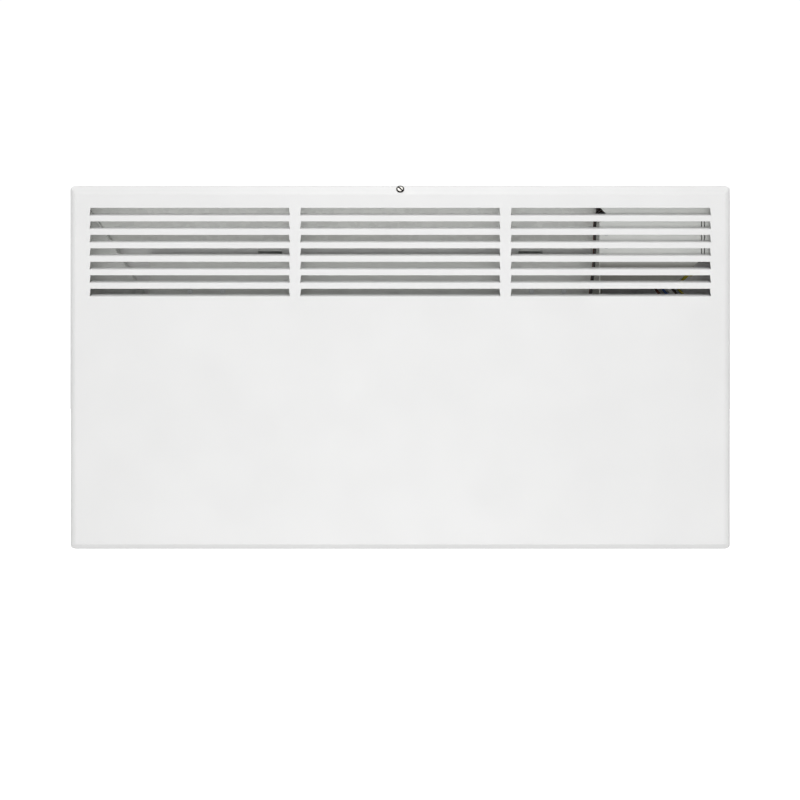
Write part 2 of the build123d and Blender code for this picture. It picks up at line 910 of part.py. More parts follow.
def left_air_guide():
    """The chamber's left wall, leaning outwards above the element, and the apron that closes its corner."""
    foot = floor_z + foot_plate_t + seat
    knee = drop(guide_knee)
    top = drop(guide_top)
    points = [(guide_foot_x, foot), (guide_foot_x, knee), (guide_top_x, top)]
    wall = prism_y(folded(points, plate_sheet), shield_front_y, case_in_y)
    flange = block(guide_foot_x - plate_sheet - flange_w, guide_foot_x - plate_sheet,
                   case_in_y - plate_sheet, case_in_y, foot, drop(guide_knee + flange_w))
    slope = [(case_in_y - apron_gap, knee), (-apron_top_y, top)]
    apron = prism_x(folded(slope, plate_sheet), case_sheet + apron_gap - case_side_x, guide_foot_x)
    apron -= prism_y([(guide_foot_x, knee - 1), (guide_foot_x, knee), (guide_top_x, top), (guide_foot_x + 1, top + 1)],
                     front_y, 0)
    cut_back = [
        (shield_front_y - 1, knee),
        (case_in_y - apron_gap - apron_lead, knee),
        (-apron_top_y - apron_lead, top),
        (-apron_top_y - apron_lead, top + 1),
        (shield_front_y - 1, top + 1),
    ]
    wall -= prism_x(cut_back, guide_top_x - flange_w, guide_foot_x + 1)
    return (wall + apron + flange) - rivet_holes_y(rear_rivet_places(), case_in_y, case_in_y)


def partition():
    """The wall between the air chamber and the electrical compartment."""
    rear = case_in_y
    front = shield_front_y + plate_sheet
    points = [(partition_x + flange_w, front), (partition_x, front), (partition_x, rear),
              (partition_x + flange_w, rear)]
    wall = prism_z(folded(points, -plate_sheet), floor_z + case_bend, drop(partition_top))
    cuts = rivet_holes_y(rear_rivet_places(), case_in_y, case_in_y)
    cuts.append(rod_x(grommet_r + slip, partition_x - 1, partition_x + 2, -grommet_y, drop(grommet_drop)))
    cuts += [rod_x(rivet_r + slip, partition_x - 1, partition_x + 2, -limiter_y, z) for z in limiter_rivet_zs()]
    cuts += shield_screw_holes()
    flange_end = drop(control_shield_bottom - slit_end)
    cuts.append(block(partition_x + plate_sheet, partition_x + flange_w + 1, front - 1, front + 2 * plate_sheet,
                      floor_z, flange_end))
    return wall - cuts


def shield_screw_zs():
    """Heights of the control shield's screws, each behind the band between two rows of louvres."""
    return [drop(slot_first + (row + shield_screw_share) * slot_pitch) for row in shield_screw_rows]


def shield_screw_holes():
    """Holes for the control shield's screws."""
    y = shield_front_y
    return [rod_y(shield_screw_r + slip, y - 1, y + 3 * plate_sheet, shield_screw_x, z) for z in shield_screw_zs()]


def air_deflector():
    """The sloped sheet that turns the rising air out through the louvres."""
    points = [(-deflector_low_y, drop(deflector_low)), (-deflector_top_y, roof_z),
              (-deflector_top_y + deflector_flange, roof_z)]
    right = partition_x - end_gap
    sheet = prism_x(folded(points, -plate_sheet), guide_top_x, right)
    lean = (guide_foot_x - guide_top_x) / (guide_knee - guide_top)
    beyond = [
        (guide_top_x - guide_top * lean + end_gap, top_z),
        (guide_foot_x + end_gap, drop(guide_knee)),
        (guide_top_x - flange_w, drop(guide_knee)),
        (guide_top_x - flange_w, top_z),
    ]
    half = tab_w / 2 + hook_side_gap
    tab_notch = block(-half, half, -deflector_top_y - 1, roof_front_y + tab_l + 1,
                      roof_z - case_sheet - seat, roof_z + 1)
    return sheet - [prism_y(beyond, front_y, 0), tab_notch] - roof_holes(deflector_rivets())


def rear_heat_shield():
    """The bright sheet behind the element, held off the rear wall."""
    low = drop(shield_bottom)
    points = [(case_in_y, low), (shield_back_y, low), (shield_back_y, drop(shield_top))]
    sheet = prism_x(folded(points, plate_sheet), guide_foot_x + end_gap, partition_x - end_gap)
    holes = rivet_holes_y(shield_rivet_places() + holder_rivets(), shield_face_y, shield_back_y)
    return sheet - holes


def shield_standoff(side):
    """A Z-shaped bracket that carries the rear heat shield."""
    x = standoff_x(side)
    z = drop(standoff_drop)
    points = [(shield_back_y, z - standoff_foot / 2), (shield_back_y, z + standoff_foot / 2),
              (case_in_y - plate_sheet, z + standoff_foot / 2), (case_in_y - plate_sheet, z + standoff_foot * 1.5)]
    plate = prism_x(folded(points, -plate_sheet), x - standoff_w / 2, x + standoff_w / 2)
    holes = rivet_holes_y(shield_rivet_places(), shield_back_y, shield_back_y)
    holes += rivet_holes_y(standoff_feet(), case_in_y, case_in_y)
    return plate - holes


def front_heat_shield():
    """The sheet between the element and the front cover."""
    y = -front_shield_y
    left = guide_foot_x
    right = partition_x
    points = [(left, y + front_shield_flange), (left, y), (right, y), (right, y + front_shield_flange)]
    return prism_z(folded(points, plate_sheet), drop(front_shield_bottom), drop(front_shield_top))


def shield_rivets():
    """The two pairs of rivets that show through the lowest louvres."""
    return Compound(children=[rivet_y(x, z, shield_face_y, shield_back_y + plate_sheet)
                              for x, z in shield_rivet_places()])


def rear_rivets():
    """Rivets through the rear wall, which hold the partition, the air guide and the stand-offs."""
    rivets = []
    for x, z in rear_rivet_places() + standoff_feet():
        rivets.append(rivet_y(x, z, case_in_y - plate_sheet, case_back_y))
    return Compound(children=rivets)


def element_fins():
    """The stack of fins, joined by the collars that grip the two rods."""
    count = int(element_l / fin_pitch)
    outline = RectangleRounded(fin_d, fin_h, fin_corner)
    first = element_x - (count - 1) * fin_pitch / 2
    plates = []
    for i in range(count):
        x = first + i * fin_pitch - fin_t / 2
        plates.append(extrude(SIDE.offset(x) * (Pos(-element_y, element_z) * outline), fin_t))
    collars = [rod_x(collar_r, element_left, element_right, -element_y, z) for z in rod_zs]
    bores = [rod_x(rod_r + slip, element_left - 1, element_right + 1, -element_y, z) for z in rod_zs]
    return (collars[0] + plates + collars[1]) - bores


def element_rods():
    """Two sheathed heating rods."""
    return Compound(children=[rod_x(rod_r, rod_left, rod_right, -element_y, z) for z in rod_zs])


def element_bushes():
    """Ceramic bushes at the rods' ends."""
    bushes = []
    for z in rod_zs:
        for start, end in ((rod_left - bush_l, rod_left), (rod_right, rod_right + bush_l)):
            bush = rod_x(bush_r, start, end, -element_y, z) - rod_x(pin_r + slip, start - 1, end + 1, -element_y, z)
            bushes.append(chamfer(bush.edges().filter_by(GeomType.CIRCLE).group_by(SortBy.RADIUS)[-1], bush_chamfer))
    return Compound(children=bushes)


def element_pins():
    """Terminal pins that pass through the bushes."""
    pins = []
    for z in rod_zs:
        pins.append(rod_x(pin_r, rod_left - bush_l - pin_l, rod_left, -element_y, z))
        pins.append(rod_x(pin_r, rod_right, rod_right + bush_l + pin_l, -element_y, z))
    return Compound(children=pins)


def element_link():
    """The strap that joins the two rods' left ends."""
    x = rod_left - bush_l - link_t - link_back
    low, high = rod_zs
    strap = block(x, x + link_t, -element_y - link_w / 2, -element_y + link_w / 2,
                  low - link_w / 2, high + link_w / 2)
    strap = fillet(strap.edges().filter_by(Axis.X), link_w / 2 - slip)
    return strap - [rod_x(pin_r + slip, x - 1, x + link_t + 1, -element_y, z) for z in rod_zs]


def holder_rivets():
    """Places of the rivets that hold the element's holders to the rear heat shield."""
    places = []
    for side in (-1, 1):
        x = holder_x(side) - side * holder_rivet_x
        places += [(x, element_z - holder_rivet_z), (x, element_z + holder_rivet_z)]
    return places


def holder_x(side):
    """The outer face of a holder, just beyond the fins."""
    return element_x + side * (element_l / 2 + holder_gap + holder_t)


def element_holder(side):
    """An upright plate that carries one end of the element, with a foot on the rear heat shield."""
    outer = holder_x(side)
    inner = outer - side * holder_t
    front = -element_y - holder_w / 2
    plate = block(min(inner, outer), max(inner, outer), front, shield_face_y,
                  element_z - holder_h / 2, element_z + holder_h / 2)
    foot_end = outer - side * holder_foot
    foot = block(min(foot_end, outer), max(foot_end, outer), shield_face_y - holder_t, shield_face_y,
                 element_z - holder_h / 2, element_z + holder_h / 2)
    bores = [rod_x(rod_r + slip, min(inner, outer) - 1, max(inner, outer) + 1, -element_y, z) for z in rod_zs]
    gap = block(min(foot_end, outer) - 1, max(foot_end, outer) + 1, front - 1, shield_face_y + 1,
                element_z - holder_foot / 2, element_z + holder_foot / 2)
    keep = block(min(inner, outer), max(inner, outer), front - 1, shield_face_y - holder_t - 1,
                 element_z - holder_foot, element_z + holder_foot)
    holes = rivet_holes_y(holder_rivets(), shield_face_y - holder_t, shield_face_y)
    return (plate + foot) - [gap - keep] - bores - holes


def limiter():
    """The overheat cut-out on the partition, with its flange and two tabs."""
    face = partition_x
    z = drop(limiter_drop)
    body = rod_x(limiter_r, face - limiter_flange_t - limiter_h, face - limiter_flange_t, -limiter_y, z)
    half = limiter_flange_w / 2
    flange = block(face - limiter_flange_t, face, -limiter_y - half, -limiter_y + half,
                   z - limiter_flange_h / 2, z + limiter_flange_h / 2)
    holes = [rod_x(rivet_r + slip, face - 2, face + 1, -limiter_y, height) for height in limiter_rivet_zs()]
    x = face - limiter_flange_t - limiter_h
    half = small_spade_w / 2
    tabs = [block(x - spade_t, x, y - half, y + half, z - half, z + limiter_r + spade_l) for y in limiter_tab_ys()]
    return (body + flange + tabs) - holes


def limiter_rivet_zs():
    """Heights of the cut-out's two rivets."""
    return [drop(limiter_drop) - limiter_rivet_z, drop(limiter_drop) + limiter_rivet_z]


def limiter_tab_ys():
    """Places of the cut-out's two tabs, the front one first."""
    return [-limiter_y - limiter_tab_apart / 2, -limiter_y + limiter_tab_apart / 2]


def inner_rivets():
    """Rivets that hold the element's holders to their shield and the cut-out to the partition."""
    rivets = [rivet_y(x, z, shield_face_y - holder_t, shield_back_y) for x, z in holder_rivets()]
    left = partition_x - limiter_flange_t
    right = partition_x + plate_sheet
    for z in limiter_rivet_zs():
        shank = rod_x(rivet_r, left, right, -limiter_y, z)
        head = rod_x(rivet_head_r, left - rivet_head_h, left, -limiter_y, z)
        tail = rod_x(rivet_tail_r, right, right + rivet_tail_h, -limiter_y, z)
        rivets.append(shank + head + tail)
    return Compound(children=rivets)


def control_shield():
    """The light grey sheet in front of the controls: a cut corner for the wires, two slits, and a sloped baffle."""
    y = shield_front_y
    top = drop(control_shield_top)
    low = drop(control_shield_bottom)
    end = drop(baffle_bottom)
    left = partition_x + seat
    inner_left = partition_x + plate_sheet + seat
    profile = [(y, top), (y, low), (y + baffle_back, end)]
    sheet = prism_x(folded(profile, plate_sheet), left, shield_right_x)
    outline = [(notch_left_x, top), (notch_left_x, drop(notch_top)), (notch_right_x, drop(notch_bottom)),
               (left, drop(notch_bottom)), (left, low + plate_sheet), (inner_left, low + plate_sheet),
               (inner_left, end - plate_sheet),
               (across(baffle_right_low_at), end - plate_sheet), (across(baffle_right_top_at), low),
               (shield_right_x, low), (shield_right_x, top)]
    sheet &= prism_y(outline, y - 1, y + baffle_back + 1)
    roof_lip = block(notch_left_x, shield_right_x, y, y + control_shield_lip, top - plate_sheet, top)
    cuts = []
    for i in range(2):
        x = slit_x + i * slit_apart
        cuts.append(block(x - slit_w / 2, x + slit_w / 2, y - 1, y + 2 * plate_sheet, low + slit_end, drop(slit_top)))
    return (sheet + roof_lip) - cuts - shield_screw_holes()


def shield_screws():
    """Two self-tapping screws that hold the control shield to the partition."""
    screws = []
    y = shield_front_y
    x = shield_screw_x
    for z in shield_screw_zs():
        shank = rod_y(shield_screw_r, y, y + 4 * plate_sheet, x, z)
        head = rod_y(shield_screw_head_r, y - shield_screw_head_h, y, x, z)
        head = fillet(head.edges().group_by(Axis.Y)[0], shield_screw_round)
        arm = Box(shield_screw_head_r, shield_screw_head_h, cross_w)
        arms = [Pos(x, y - shield_screw_head_h, z) * Rot(0, turn, 0) * arm for turn in (0, 90)]
        screws.append(head - arms + shank)
    return Compound(children=screws)


def control_panel():
    """The moulded pocket behind the side window, which carries the knob and the two switches."""
    outer = window_prism(pocket_wall, pocket_r + pocket_wall, pocket_back_x, pocket_rim_x)
    rim = window_prism(pocket_wall + pocket_rim, pocket_r + pocket_wall, pocket_rim_x - pocket_rim_t, pocket_rim_x)
    hollow = window_prism(0, pocket_r, pocket_floor_x, pocket_rim_x + 1)
    rear = window_mid_y + window_y / 2 + pocket_wall
    lugs = [block(pocket_back_x, pocket_back_x + lug_w, rear - pocket_wall, case_in_y, z - lug_w / 2, z + lug_w / 2)
            for z in lug_places()]
    pilots = [rod_y(panel_screw_r + slip, case_in_y - panel_screw_l, case_in_y + 1, lug_x(), z) for z in lug_places()]
    neck = rod_x(neck_r + slip, pocket_back_x - 1, pocket_floor_x + 1, -knob_y, knob_z)
    switch_holes = [block(pocket_back_x - 1, pocket_floor_x + 1, -y - switch_y / 2 - slip, -y + switch_y / 2 + slip,
                          rocker_z - switch_z / 2 - slip, rocker_z + switch_z / 2 + slip) for y in rocker_ys]
    return (outer + rim + lugs) - [hollow, neck] - switch_holes - pilots


def panel_screws():
    """Two screws from behind, through the rear wall into the control panel's lugs."""
    screws = []
    for z in lug_places():
        shank = rod_y(panel_screw_r, case_in_y - panel_screw_l + 1, case_back_y, lug_x(), z)
        head = rod_y(panel_screw_head_r, case_back_y, case_back_y + panel_screw_head_h, lug_x(), z)
        head = fillet(head.edges().group_by(Axis.Y)[-1], panel_screw_round)
        screws.append(shank + head)
    return Compound(children=screws)


def thermostat_body():
    """The thermostat's housing, its threaded neck through the panel, and two tabs."""
    right = pocket_back_x
    left = right - thermo_x
    housing = block(left, right, -knob_y - thermo_y / 2, -knob_y + thermo_y / 2,
                    knob_z - thermo_z / 2, knob_z + thermo_z / 2)
    housing = fillet(housing.edges().filter_by(Axis.X), thermo_round)
    neck = rod_x(neck_r, right, pocket_back_x + neck_l, -knob_y, knob_z)
    bore = rod_x(spindle_r + slip, right - spindle_l_inside() - seat, pocket_back_x + neck_l + 1, -knob_y, knob_z)
    tabs = []
    for side in (-1, 1):
        y = -knob_y + side * thermo_tab_y
        z = knob_z - thermo_tab_z
        tabs.append(block(left - spade_l, left, y - spade_t / 2, y + spade_t / 2, z - spade_w / 2, z + spade_w / 2))
    return (housing + neck + tabs) - bore


def spindle_l_inside():
    """How far the spindle reaches into the thermostat."""
    return thermo_x / 3


def thermostat_nut():
    """The flat nut that clamps the thermostat to the panel."""
    left = pocket_floor_x
    hexagon = Pos(-knob_y, knob_z) * RegularPolygon(nut_across / 2, 6, major_radius=False)
    nut = extrude(SIDE.offset(left) * hexagon, nut_t)
    return nut - rod_x(neck_r + slip, left - 1, left + nut_t + 1, -knob_y, knob_z)


def knob_left():
    """The knob's inner face, clear of the panel's floor."""
    return pocket_floor_x + knob_gap


def spindle_flat_cut(x0, x1, gap):
    """The flat side of the spindle's end, or of its socket."""
    low = knob_z + spindle_r - spindle_flat + gap
    return block(x0, x1, -knob_y - knob_r, -knob_y + knob_r, low, knob_z + knob_r)


def thermostat_spindle():
    left = pocket_back_x - spindle_l_inside()
    right = knob_left() + knob_bore_deep - seat
    bar = rod_x(spindle_r, left, right, -knob_y, knob_z)
    return bar - spindle_flat_cut(pocket_back_x + neck_l + spindle_flat_gap, right + 1, 0)


def thermostat_knob():
    """A skirted, fluted knob with a raised pointer, pointing up at rest."""
    left = knob_left()
    right = left + knob_h
    skirt = rod_x(knob_r, left, left + knob_skirt_h, -knob_y, knob_z)
    skirt = fillet(skirt.edges().group_by(Axis.X)[-1], knob_skirt_h / 3)
    grip = rod_x(knob_grip_r, left, right, -knob_y, knob_z)
    grip = fillet(grip.edges().group_by(Axis.X)[-1], knob_round)
    pointer = block(right - 1, right + pointer_h, -knob_y - pointer_w / 2, -knob_y + pointer_w / 2,
                    knob_z + 1, knob_z + knob_grip_r - pointer_end)
    flutes = []
    for i in range(knob_flutes):
        angle = 2 * math.pi * (i + 0.5) / knob_flutes
        reach = knob_grip_r + knob_flute_r * knob_flute_share
        flutes.append(rod_x(knob_flute_r, left + knob_skirt_h, right + 1,
                            -knob_y + reach * math.sin(angle), knob_z + reach * math.cos(angle)))
    nut_corner_r = nut_across / math.sqrt(3)
    hollow = rod_x(nut_corner_r + nut_room, left - 1, left + nut_t + neck_l - pocket_wall, -knob_y, knob_z)
    bore = rod_x(spindle_r + slip, left - 1, left + knob_bore_deep, -knob_y, knob_z)
    bore -= spindle_flat_cut(left - 2, left + knob_bore_deep + 1, slip)
    return (skirt + grip + pointer) - flutes - hollow - bore


def switch_body(index):
    """A rocker switch's housing: bezel, well for the rocker, and three tabs behind."""
    y = -rocker_ys[index]
    bezel = block(pocket_floor_x, pocket_floor_x + bezel_t, y - bezel_y / 2, y + bezel_y / 2,
                  rocker_z - bezel_z / 2, rocker_z + bezel_z / 2)
    bezel = fillet(bezel.edges().group_by(Axis.X)[-1], bezel_round)
    left = pocket_floor_x - switch_deep
    housing = block(left, pocket_floor_x, y - switch_y / 2, y + switch_y / 2,
                    rocker_z - switch_z / 2, rocker_z + switch_z / 2)
    pivot_x = pocket_floor_x + bezel_t - rocker_pivot
    well = rod_y(well_r + rocker_gap, y - well_y / 2 - rocker_gap, y + well_y / 2 + rocker_gap, pivot_x, rocker_z)
    well &= block(pocket_floor_x - well_deep, pocket_floor_x + 2 * well_r, y - well_y, y + well_y,
                  rocker_z - 2 * well_r, rocker_z + 2 * well_r)
    sockets = rod_y(axle_r + axle_slip, y - well_y / 2 - rocker_gap - axle_l, y + well_y / 2 + rocker_gap + axle_l,
                    pivot_x, rocker_z)
    tabs = []
    for i in (-1, 0, 1):
        z = rocker_z + i * switch_tab_pitch
        tabs.append(block(left - spade_l, left, y - spade_w / 2, y + spade_w / 2, z - spade_t / 2, z + spade_t / 2))
    return (bezel + housing + tabs) - [well, sockets]


def rocker(index):
    """A rocker, tipped to off: its top is out and its foot is in."""
    y = -rocker_ys[index]
    face_x = pocket_floor_x + bezel_t
    pivot_x = face_x - rocker_pivot
    half = well_r - rocker_gap
    low_x = pivot_x - rocker_pivot
    outline = [(low_x, -half), (face_x + rocker_rise, -half), (face_x + rocker_rise - rocker_fall, 0),
               (face_x + rocker_rise, half), (low_x, half)]
    body = prism_y([(x, rocker_z + z) for x, z in outline], y - well_y / 2, y + well_y / 2)
    body &= rod_y(well_r, y - well_y, y + well_y, pivot_x, rocker_z)
    axle = rod_y(axle_r, y - well_y / 2 - axle_l, y + well_y / 2 + axle_l, pivot_x, rocker_z)
    return Pos(pivot_x, 0, rocker_z) * Rot(0, rocker_tilt, 0) * Pos(-pivot_x, 0, -rocker_z) * (body + axle)


def pole_xs():
    """Places of the terminal block's three poles."""
    return [block_x + i * pole_pitch for i in (-1, 0, 1)]


def terminal_block():
    """A three-pole block on the rear wall, with barriers between its poles."""
    middle = drop(block_drop)
    front = case_in_y - block_d
    low = middle - block_h / 2
    high = middle + block_h / 2
    body = block(block_x - block_w / 2, block_x + block_w / 2, front, case_in_y, low, high)
    cuts = []
    for x in pole_xs():
        cuts.append(rod_z(pole_hole_r, low - 1, low + pole_hole_deep, x, front + block_d / 2))
        cuts.append(rod_z(pole_hole_r, high - pole_hole_deep, high + 1, x, front + block_d / 2))
        for side in (-1, 1):
            z = middle + side * pole_screw_z
            cuts.append(rod_y(pole_screw_r + slip, front - 1, front + 2 * pole_screw_h, x, z))
    barriers = []
    for i in range(4):
        x = block_x + (i - 3 / 2) * pole_pitch
        barriers.append(block(x - barrier_t / 2, x + barrier_t / 2, front - barrier_h, front, low, high))
    return (body + barriers) - cuts


def terminal_screws():
    """Six slotted screws in the terminal block."""
    screws = []
    bottom = case_in_y - block_d + 2 * pole_screw_h
    top = bottom - pole_screw_h
    for x in pole_xs():
        for side in (-1, 1):
            z = drop(block_drop) + side * pole_screw_z
            slot = block(x - pole_screw_r, x + pole_screw_r, top - 1, top + pole_slot_deep,
                         z - pole_slot_w / 2, z + pole_slot_w / 2)
            screws.append(rod_y(pole_screw_r, top, bottom, x, z) - slot)
    return Compound(children=screws)


def earth_stud():
    """The welded earth stud on the rear wall."""
    return rod_y(stud_r, case_in_y - stud_l, case_in_y, stud_x, drop(stud_drop))


def earth_nut():
    """The nut that clamps the earth wire's eyelet."""
    y = case_in_y - eyelet_t
    hexagon = Pos(stud_x, drop(stud_drop)) * RegularPolygon(stud_nut_across / 2, 6, major_radius=False)
    nut = extrude(Plane.XZ.offset(-y) * hexagon, stud_nut_t)
    return nut - rod_y(stud_r + slip, y - 2 * stud_nut_t, y + 1, stud_x, drop(stud_drop))


def cord_gland():
    """The bush in the floor that the supply cord enters by."""
    low = case_bottom_z - gland_flange_t
    flange = rod_z(gland_flange_r, low, case_bottom_z, gland_x, -gland_y)
    flange = fillet(flange.edges().group_by(Axis.Z)[0], gland_flange_t / 2)
    body = rod_z(gland_body_r, case_bottom_z, floor_z, gland_x, -gland_y)
    catch = rod_z(gland_catch_r, floor_z, floor_z + gland_above, gland_x, -gland_y)
    catch = chamfer(catch.edges().group_by(Axis.Z)[-1], gland_chamfer)
    return (flange + body + catch) - rod_z(gland_bore_r, low - 1, floor_z + gland_above + 1, gland_x, -gland_y)


def cable_clip():
    """The clamp on the rear wall that grips the supply cord above the gland."""
    z = drop(clip_drop)
    low = z - clip_width / 2
    high = z + clip_width / 2
    y = case_in_y - clip_wall - clip_bore_r
    ring = rod_z(clip_bore_r + clip_wall, low, high, clip_x, y)
    foot = block(clip_x, clip_x + clip_foot_l, case_in_y - clip_foot_t, case_in_y, low, high)
    bore = rod_z(clip_bore_r, low - 1, high + 1, clip_x, y)
    pilot = rod_y(clip_screw_r + slip, case_in_y - clip_foot_t - 1, case_in_y + 1, cable_screw_x(), z)
    return (ring + foot) - [bore, pilot]


def cable_screw_x():
    return clip_x + clip_bore_r + clip_hole_out


def clip_screw():
    """The screw that holds the cable clip."""
    z = drop(clip_drop)
    face = case_in_y - clip_foot_t
    shank = rod_y(clip_screw_r, face, case_in_y, cable_screw_x(), z)
    head = rod_y(clip_screw_head_r, face - clip_screw_head_h, face, cable_screw_x(), z)
    return shank + fillet(head.edges().group_by(Axis.Y)[0], clip_screw_round)


def partition_grommet():
    """The bush that lines the wires' hole in the partition."""
    z = drop(grommet_drop)
    left = partition_x - grommet_lip_t
    right = partition_x + plate_sheet + grommet_lip_t
    body = rod_x(grommet_r, partition_x, partition_x + plate_sheet, -grommet_y, z)
    lips = [rod_x(grommet_lip_r, left, partition_x, -grommet_y, z),
            rod_x(grommet_lip_r, partition_x + plate_sheet, right, -grommet_y, z)]
    return (body + lips) - rod_x(grommet_bore_r, left - 1, right + 1, -grommet_y, z)


def sensor_bulb():
    """The thermostat's bulb, lying just above the floor in the incoming air."""
    z = drop(bulb_drop)
    bulb = rod_x(bulb_r, bulb_x - bulb_l / 2, bulb_x + bulb_l / 2, -bulb_y, z)
    return fillet(bulb.edges().filter_by(GeomType.CIRCLE), bulb_round)


def bulb_clips():
    """Two clips that hold the bulb off the rear wall."""
    clips = []
    z = drop(bulb_drop)
    for side in (-1, 1):
        x = bulb_x + side * bulb_l / 4
        ring = rod_x(bulb_r + bulb_clip_t, x - bulb_clip_w / 2, x + bulb_clip_w / 2, -bulb_y, z)
        arm = block(x - bulb_clip_w / 2, x + bulb_clip_w / 2, -bulb_y, case_in_y,
                    z - bulb_clip_t / 2, z + bulb_clip_t / 2)
        clips.append((ring + arm) - rod_x(bulb_r + slip, x - bulb_clip_w, x + bulb_clip_w, -bulb_y, z))
    return Compound(children=clips)


def thermostat_tab(side):
    """Where a wire leaves the receptacle on one of the thermostat's tabs, and that receptacle."""
    left = pocket_back_x - thermo_x
    y = -knob_y + side * thermo_tab_y
    z = knob_z - thermo_tab_z
    return (left - sleeve_gap - sleeve_l, y, z), upright_sleeve(left, y, z)


def switch_tab(index, row):
    """Where a wire leaves the receptacle on a switch's tab, and that receptacle."""
    left = pocket_floor_x - switch_deep
    y = -rocker_ys[index]
    z = rocker_z + row * switch_tab_pitch
    return (left - sleeve_gap - sleeve_l, y, z), flat_sleeve(left, y, z)


def limiter_tab(index):
    """Where a wire leaves the receptacle on one of the cut-out's tabs."""
    x = partition_x - limiter_flange_t - limiter_h - spade_t / 2
    return x, limiter_tab_ys()[index], drop(limiter_drop) + limiter_r + sleeve_gap + small_sleeve_l


def pole(index, side):
    """The mouth of a terminal block's hole, and the wire's end inside it."""
    x = block_x + index * pole_pitch
    y = case_in_y - block_d / 2
    z = drop(block_drop) + side * block_h / 2
    return (x, y, z), (x, y, z - side * (pole_hole_deep - seat))


def pin_end(z):
    """The free end of a heating rod's right-hand pin."""
    return rod_right + bush_l + pin_l, -element_y, z


def hand(points):
    """Points given as drawn: X, Y and the distance below the cover's top."""
    return [(across(x), y, drop(distance)) for x, y, distance in points]


def through_grommet(y, z):
    """Two points outside the grommet, right and left, at an offset from its centre."""
    z += drop(grommet_drop)
    y -= grommet_y
    return [(partition_x + grommet_run, y - seat, z + seat), (partition_x - grommet_run, y, z)]


def wire_live():
    """From the terminal block up to the thermostat."""
    start, receptacle = thermostat_tab(-1)
    above, end = pole(-1, 1)
    middle = hand([(283, -56, 42), (275.5, -56.5, 55), (274.5, -56, 74), (276.5, -50.5, 89), (282, -43.5, 101),
                   (290.8, -38, 113.4), (300, -40, 126), (314, -51, 149), (321, -49, 180), (301, -39, 212),
                   (272, -26.5, 231)])
    tubing = tube("wire_live", [start] + middle + [(above[0], above[1], drop(pole_run_drop)), end], wire_r)
    return receptacle + tubing


def wire_lamp():
    """From the terminal block up to the middle tab of the front switch."""
    start, receptacle = switch_tab(0, 0)
    above, end = pole(0, 1)
    middle = hand([(293, -52.3, 65.5), (286, -51, 74), (285, -47.5, 84), (287, -42, 94), (291.5, -38, 103),
                   (299.3, -37, 113.4), (308, -38.5, 124.5), (321, -45, 152), (325, -40, 182), (308, -32, 213),
                   (285, -26, 232)])
    tubing = tube("wire_lamp", [start] + middle + [(above[0], above[1], drop(pole_run_drop)), end], wire_r)
    return receptacle + tubing


def wire_stage_one():
    """In its heat sleeve, from the front switch to the upper heating rod."""
    start, receptacle = switch_tab(0, -1)
    middle = hand([(295, -50, 71.5), (291.5, -44, 81), (293.5, -37.5, 92), (298, -35.3, 102.5), (306.1, -35.3, 113.4),
                   (314, -37, 124), (328, -43, 151), (332, -42.5, 190), (316, -43, 233), (295, -43.5, 262),
                   (262, -43, 279)])
    tip = pin_end(rod_zs[1])
    last = hand([(206, -47, 277.5)]) + [(tip[0] + straight_end, tip[1], tip[2]), tip]
    tubing = tube("wire_stage_one", [start] + middle + through_grommet(stage_one_y, 0) + last, sleeved_r)
    return receptacle + tubing


def wire_stage_two():
    """From the rear switch to the lower heating rod."""
    start, receptacle = switch_tab(1, -1)
    middle = hand([(297, -34, 72), (295, -30.5, 82), (299, -28.5, 93), (304.5, -28.5, 103), (312.5, -29.5, 113.4),
                   (320, -31.5, 124), (335, -36, 156), (338, -37, 196), (331, -37, 238), (318, -38, 264),
                   (296, -38, 280), (262, -37.5, 281)])
    tip = pin_end(rod_zs[0])
    last = hand([(208.5, -40, 285), (206.5, -46, 296)]) + [(tip[0] + straight_end, tip[1], tip[2]), tip]
    tubing = tube("wire_stage_two", [start] + middle + through_grommet(side_wire_y, side_wire_z) + last, wire_r)
    return receptacle + tubing


def wire_earth():
    """From the terminal block to the earth stud, with its eyelet."""
    above, end = pole(1, 1)
    stud_z = drop(stud_drop)
    crimp_top = stud_nut_across / math.sqrt(3) + seat
    crimp_half = wire_r + crimp_wall
    eyelet = rod_y(eyelet_r, case_in_y - eyelet_t, case_in_y, 0, 0)
    crimp = block(-crimp_half, crimp_half, case_in_y - 2 * crimp_half, case_in_y, -crimp_top - crimp_l, -crimp_top)
    neck = block(-crimp_half, crimp_half, case_in_y - eyelet_t, case_in_y, -crimp_top - eyelet_t, 0)
    lug = (eyelet + neck + crimp) - rod_y(stud_r + slip, case_in_y - stud_l, case_in_y + 1, 0, 0)
    lug = Pos(stud_x, 0, stud_z) * Rot(0, lug_turn, 0) * lug
    reach = crimp_top + crimp_l
    along = (math.sin(math.radians(lug_turn)), math.cos(math.radians(lug_turn)))
    y = case_in_y - crimp_half
    start = (stud_x - reach * along[0], y, stud_z - reach * along[1])
    beyond = (start[0] - straight_end * along[0], y, start[2] - straight_end * along[1])
    middle = hand([(317.5, -20, 108), (322.5, -23, 114.5), (329, -27, 124), (330, -29, 140), (325, -30, 188),
                   (309, -26.5, 216), (299, -25.5, 232)])
    tubing = tube("wire_earth", [start, beyond] + middle + [(above[0], above[1], drop(pole_run_drop)), end], wire_r)
    return lug + tubing


def wire_limiter_out():
    """From the thermostat over the top of the partition to the cut-out."""
    start, receptacle = thermostat_tab(1)
    middle = hand([(283, -34, 38), (262, -40, 33), (245, -49, 28), (231, -55.5, 24), (219.5, -57.5, 26),
                   (216.8, -58, 36), (216.5, -57.5, 50), (216.8, -54.5, 78), (214.5, -48, 108)])
    end = limiter_tab(1)
    last = [(end[0] + 1, end[1] + seat, end[2] + 2 * straight_end), end]
    tubing = tube("wire_limiter_out", [start] + middle + last, wire_r)
    return receptacle + tubing + limiter_sleeve(end[1])


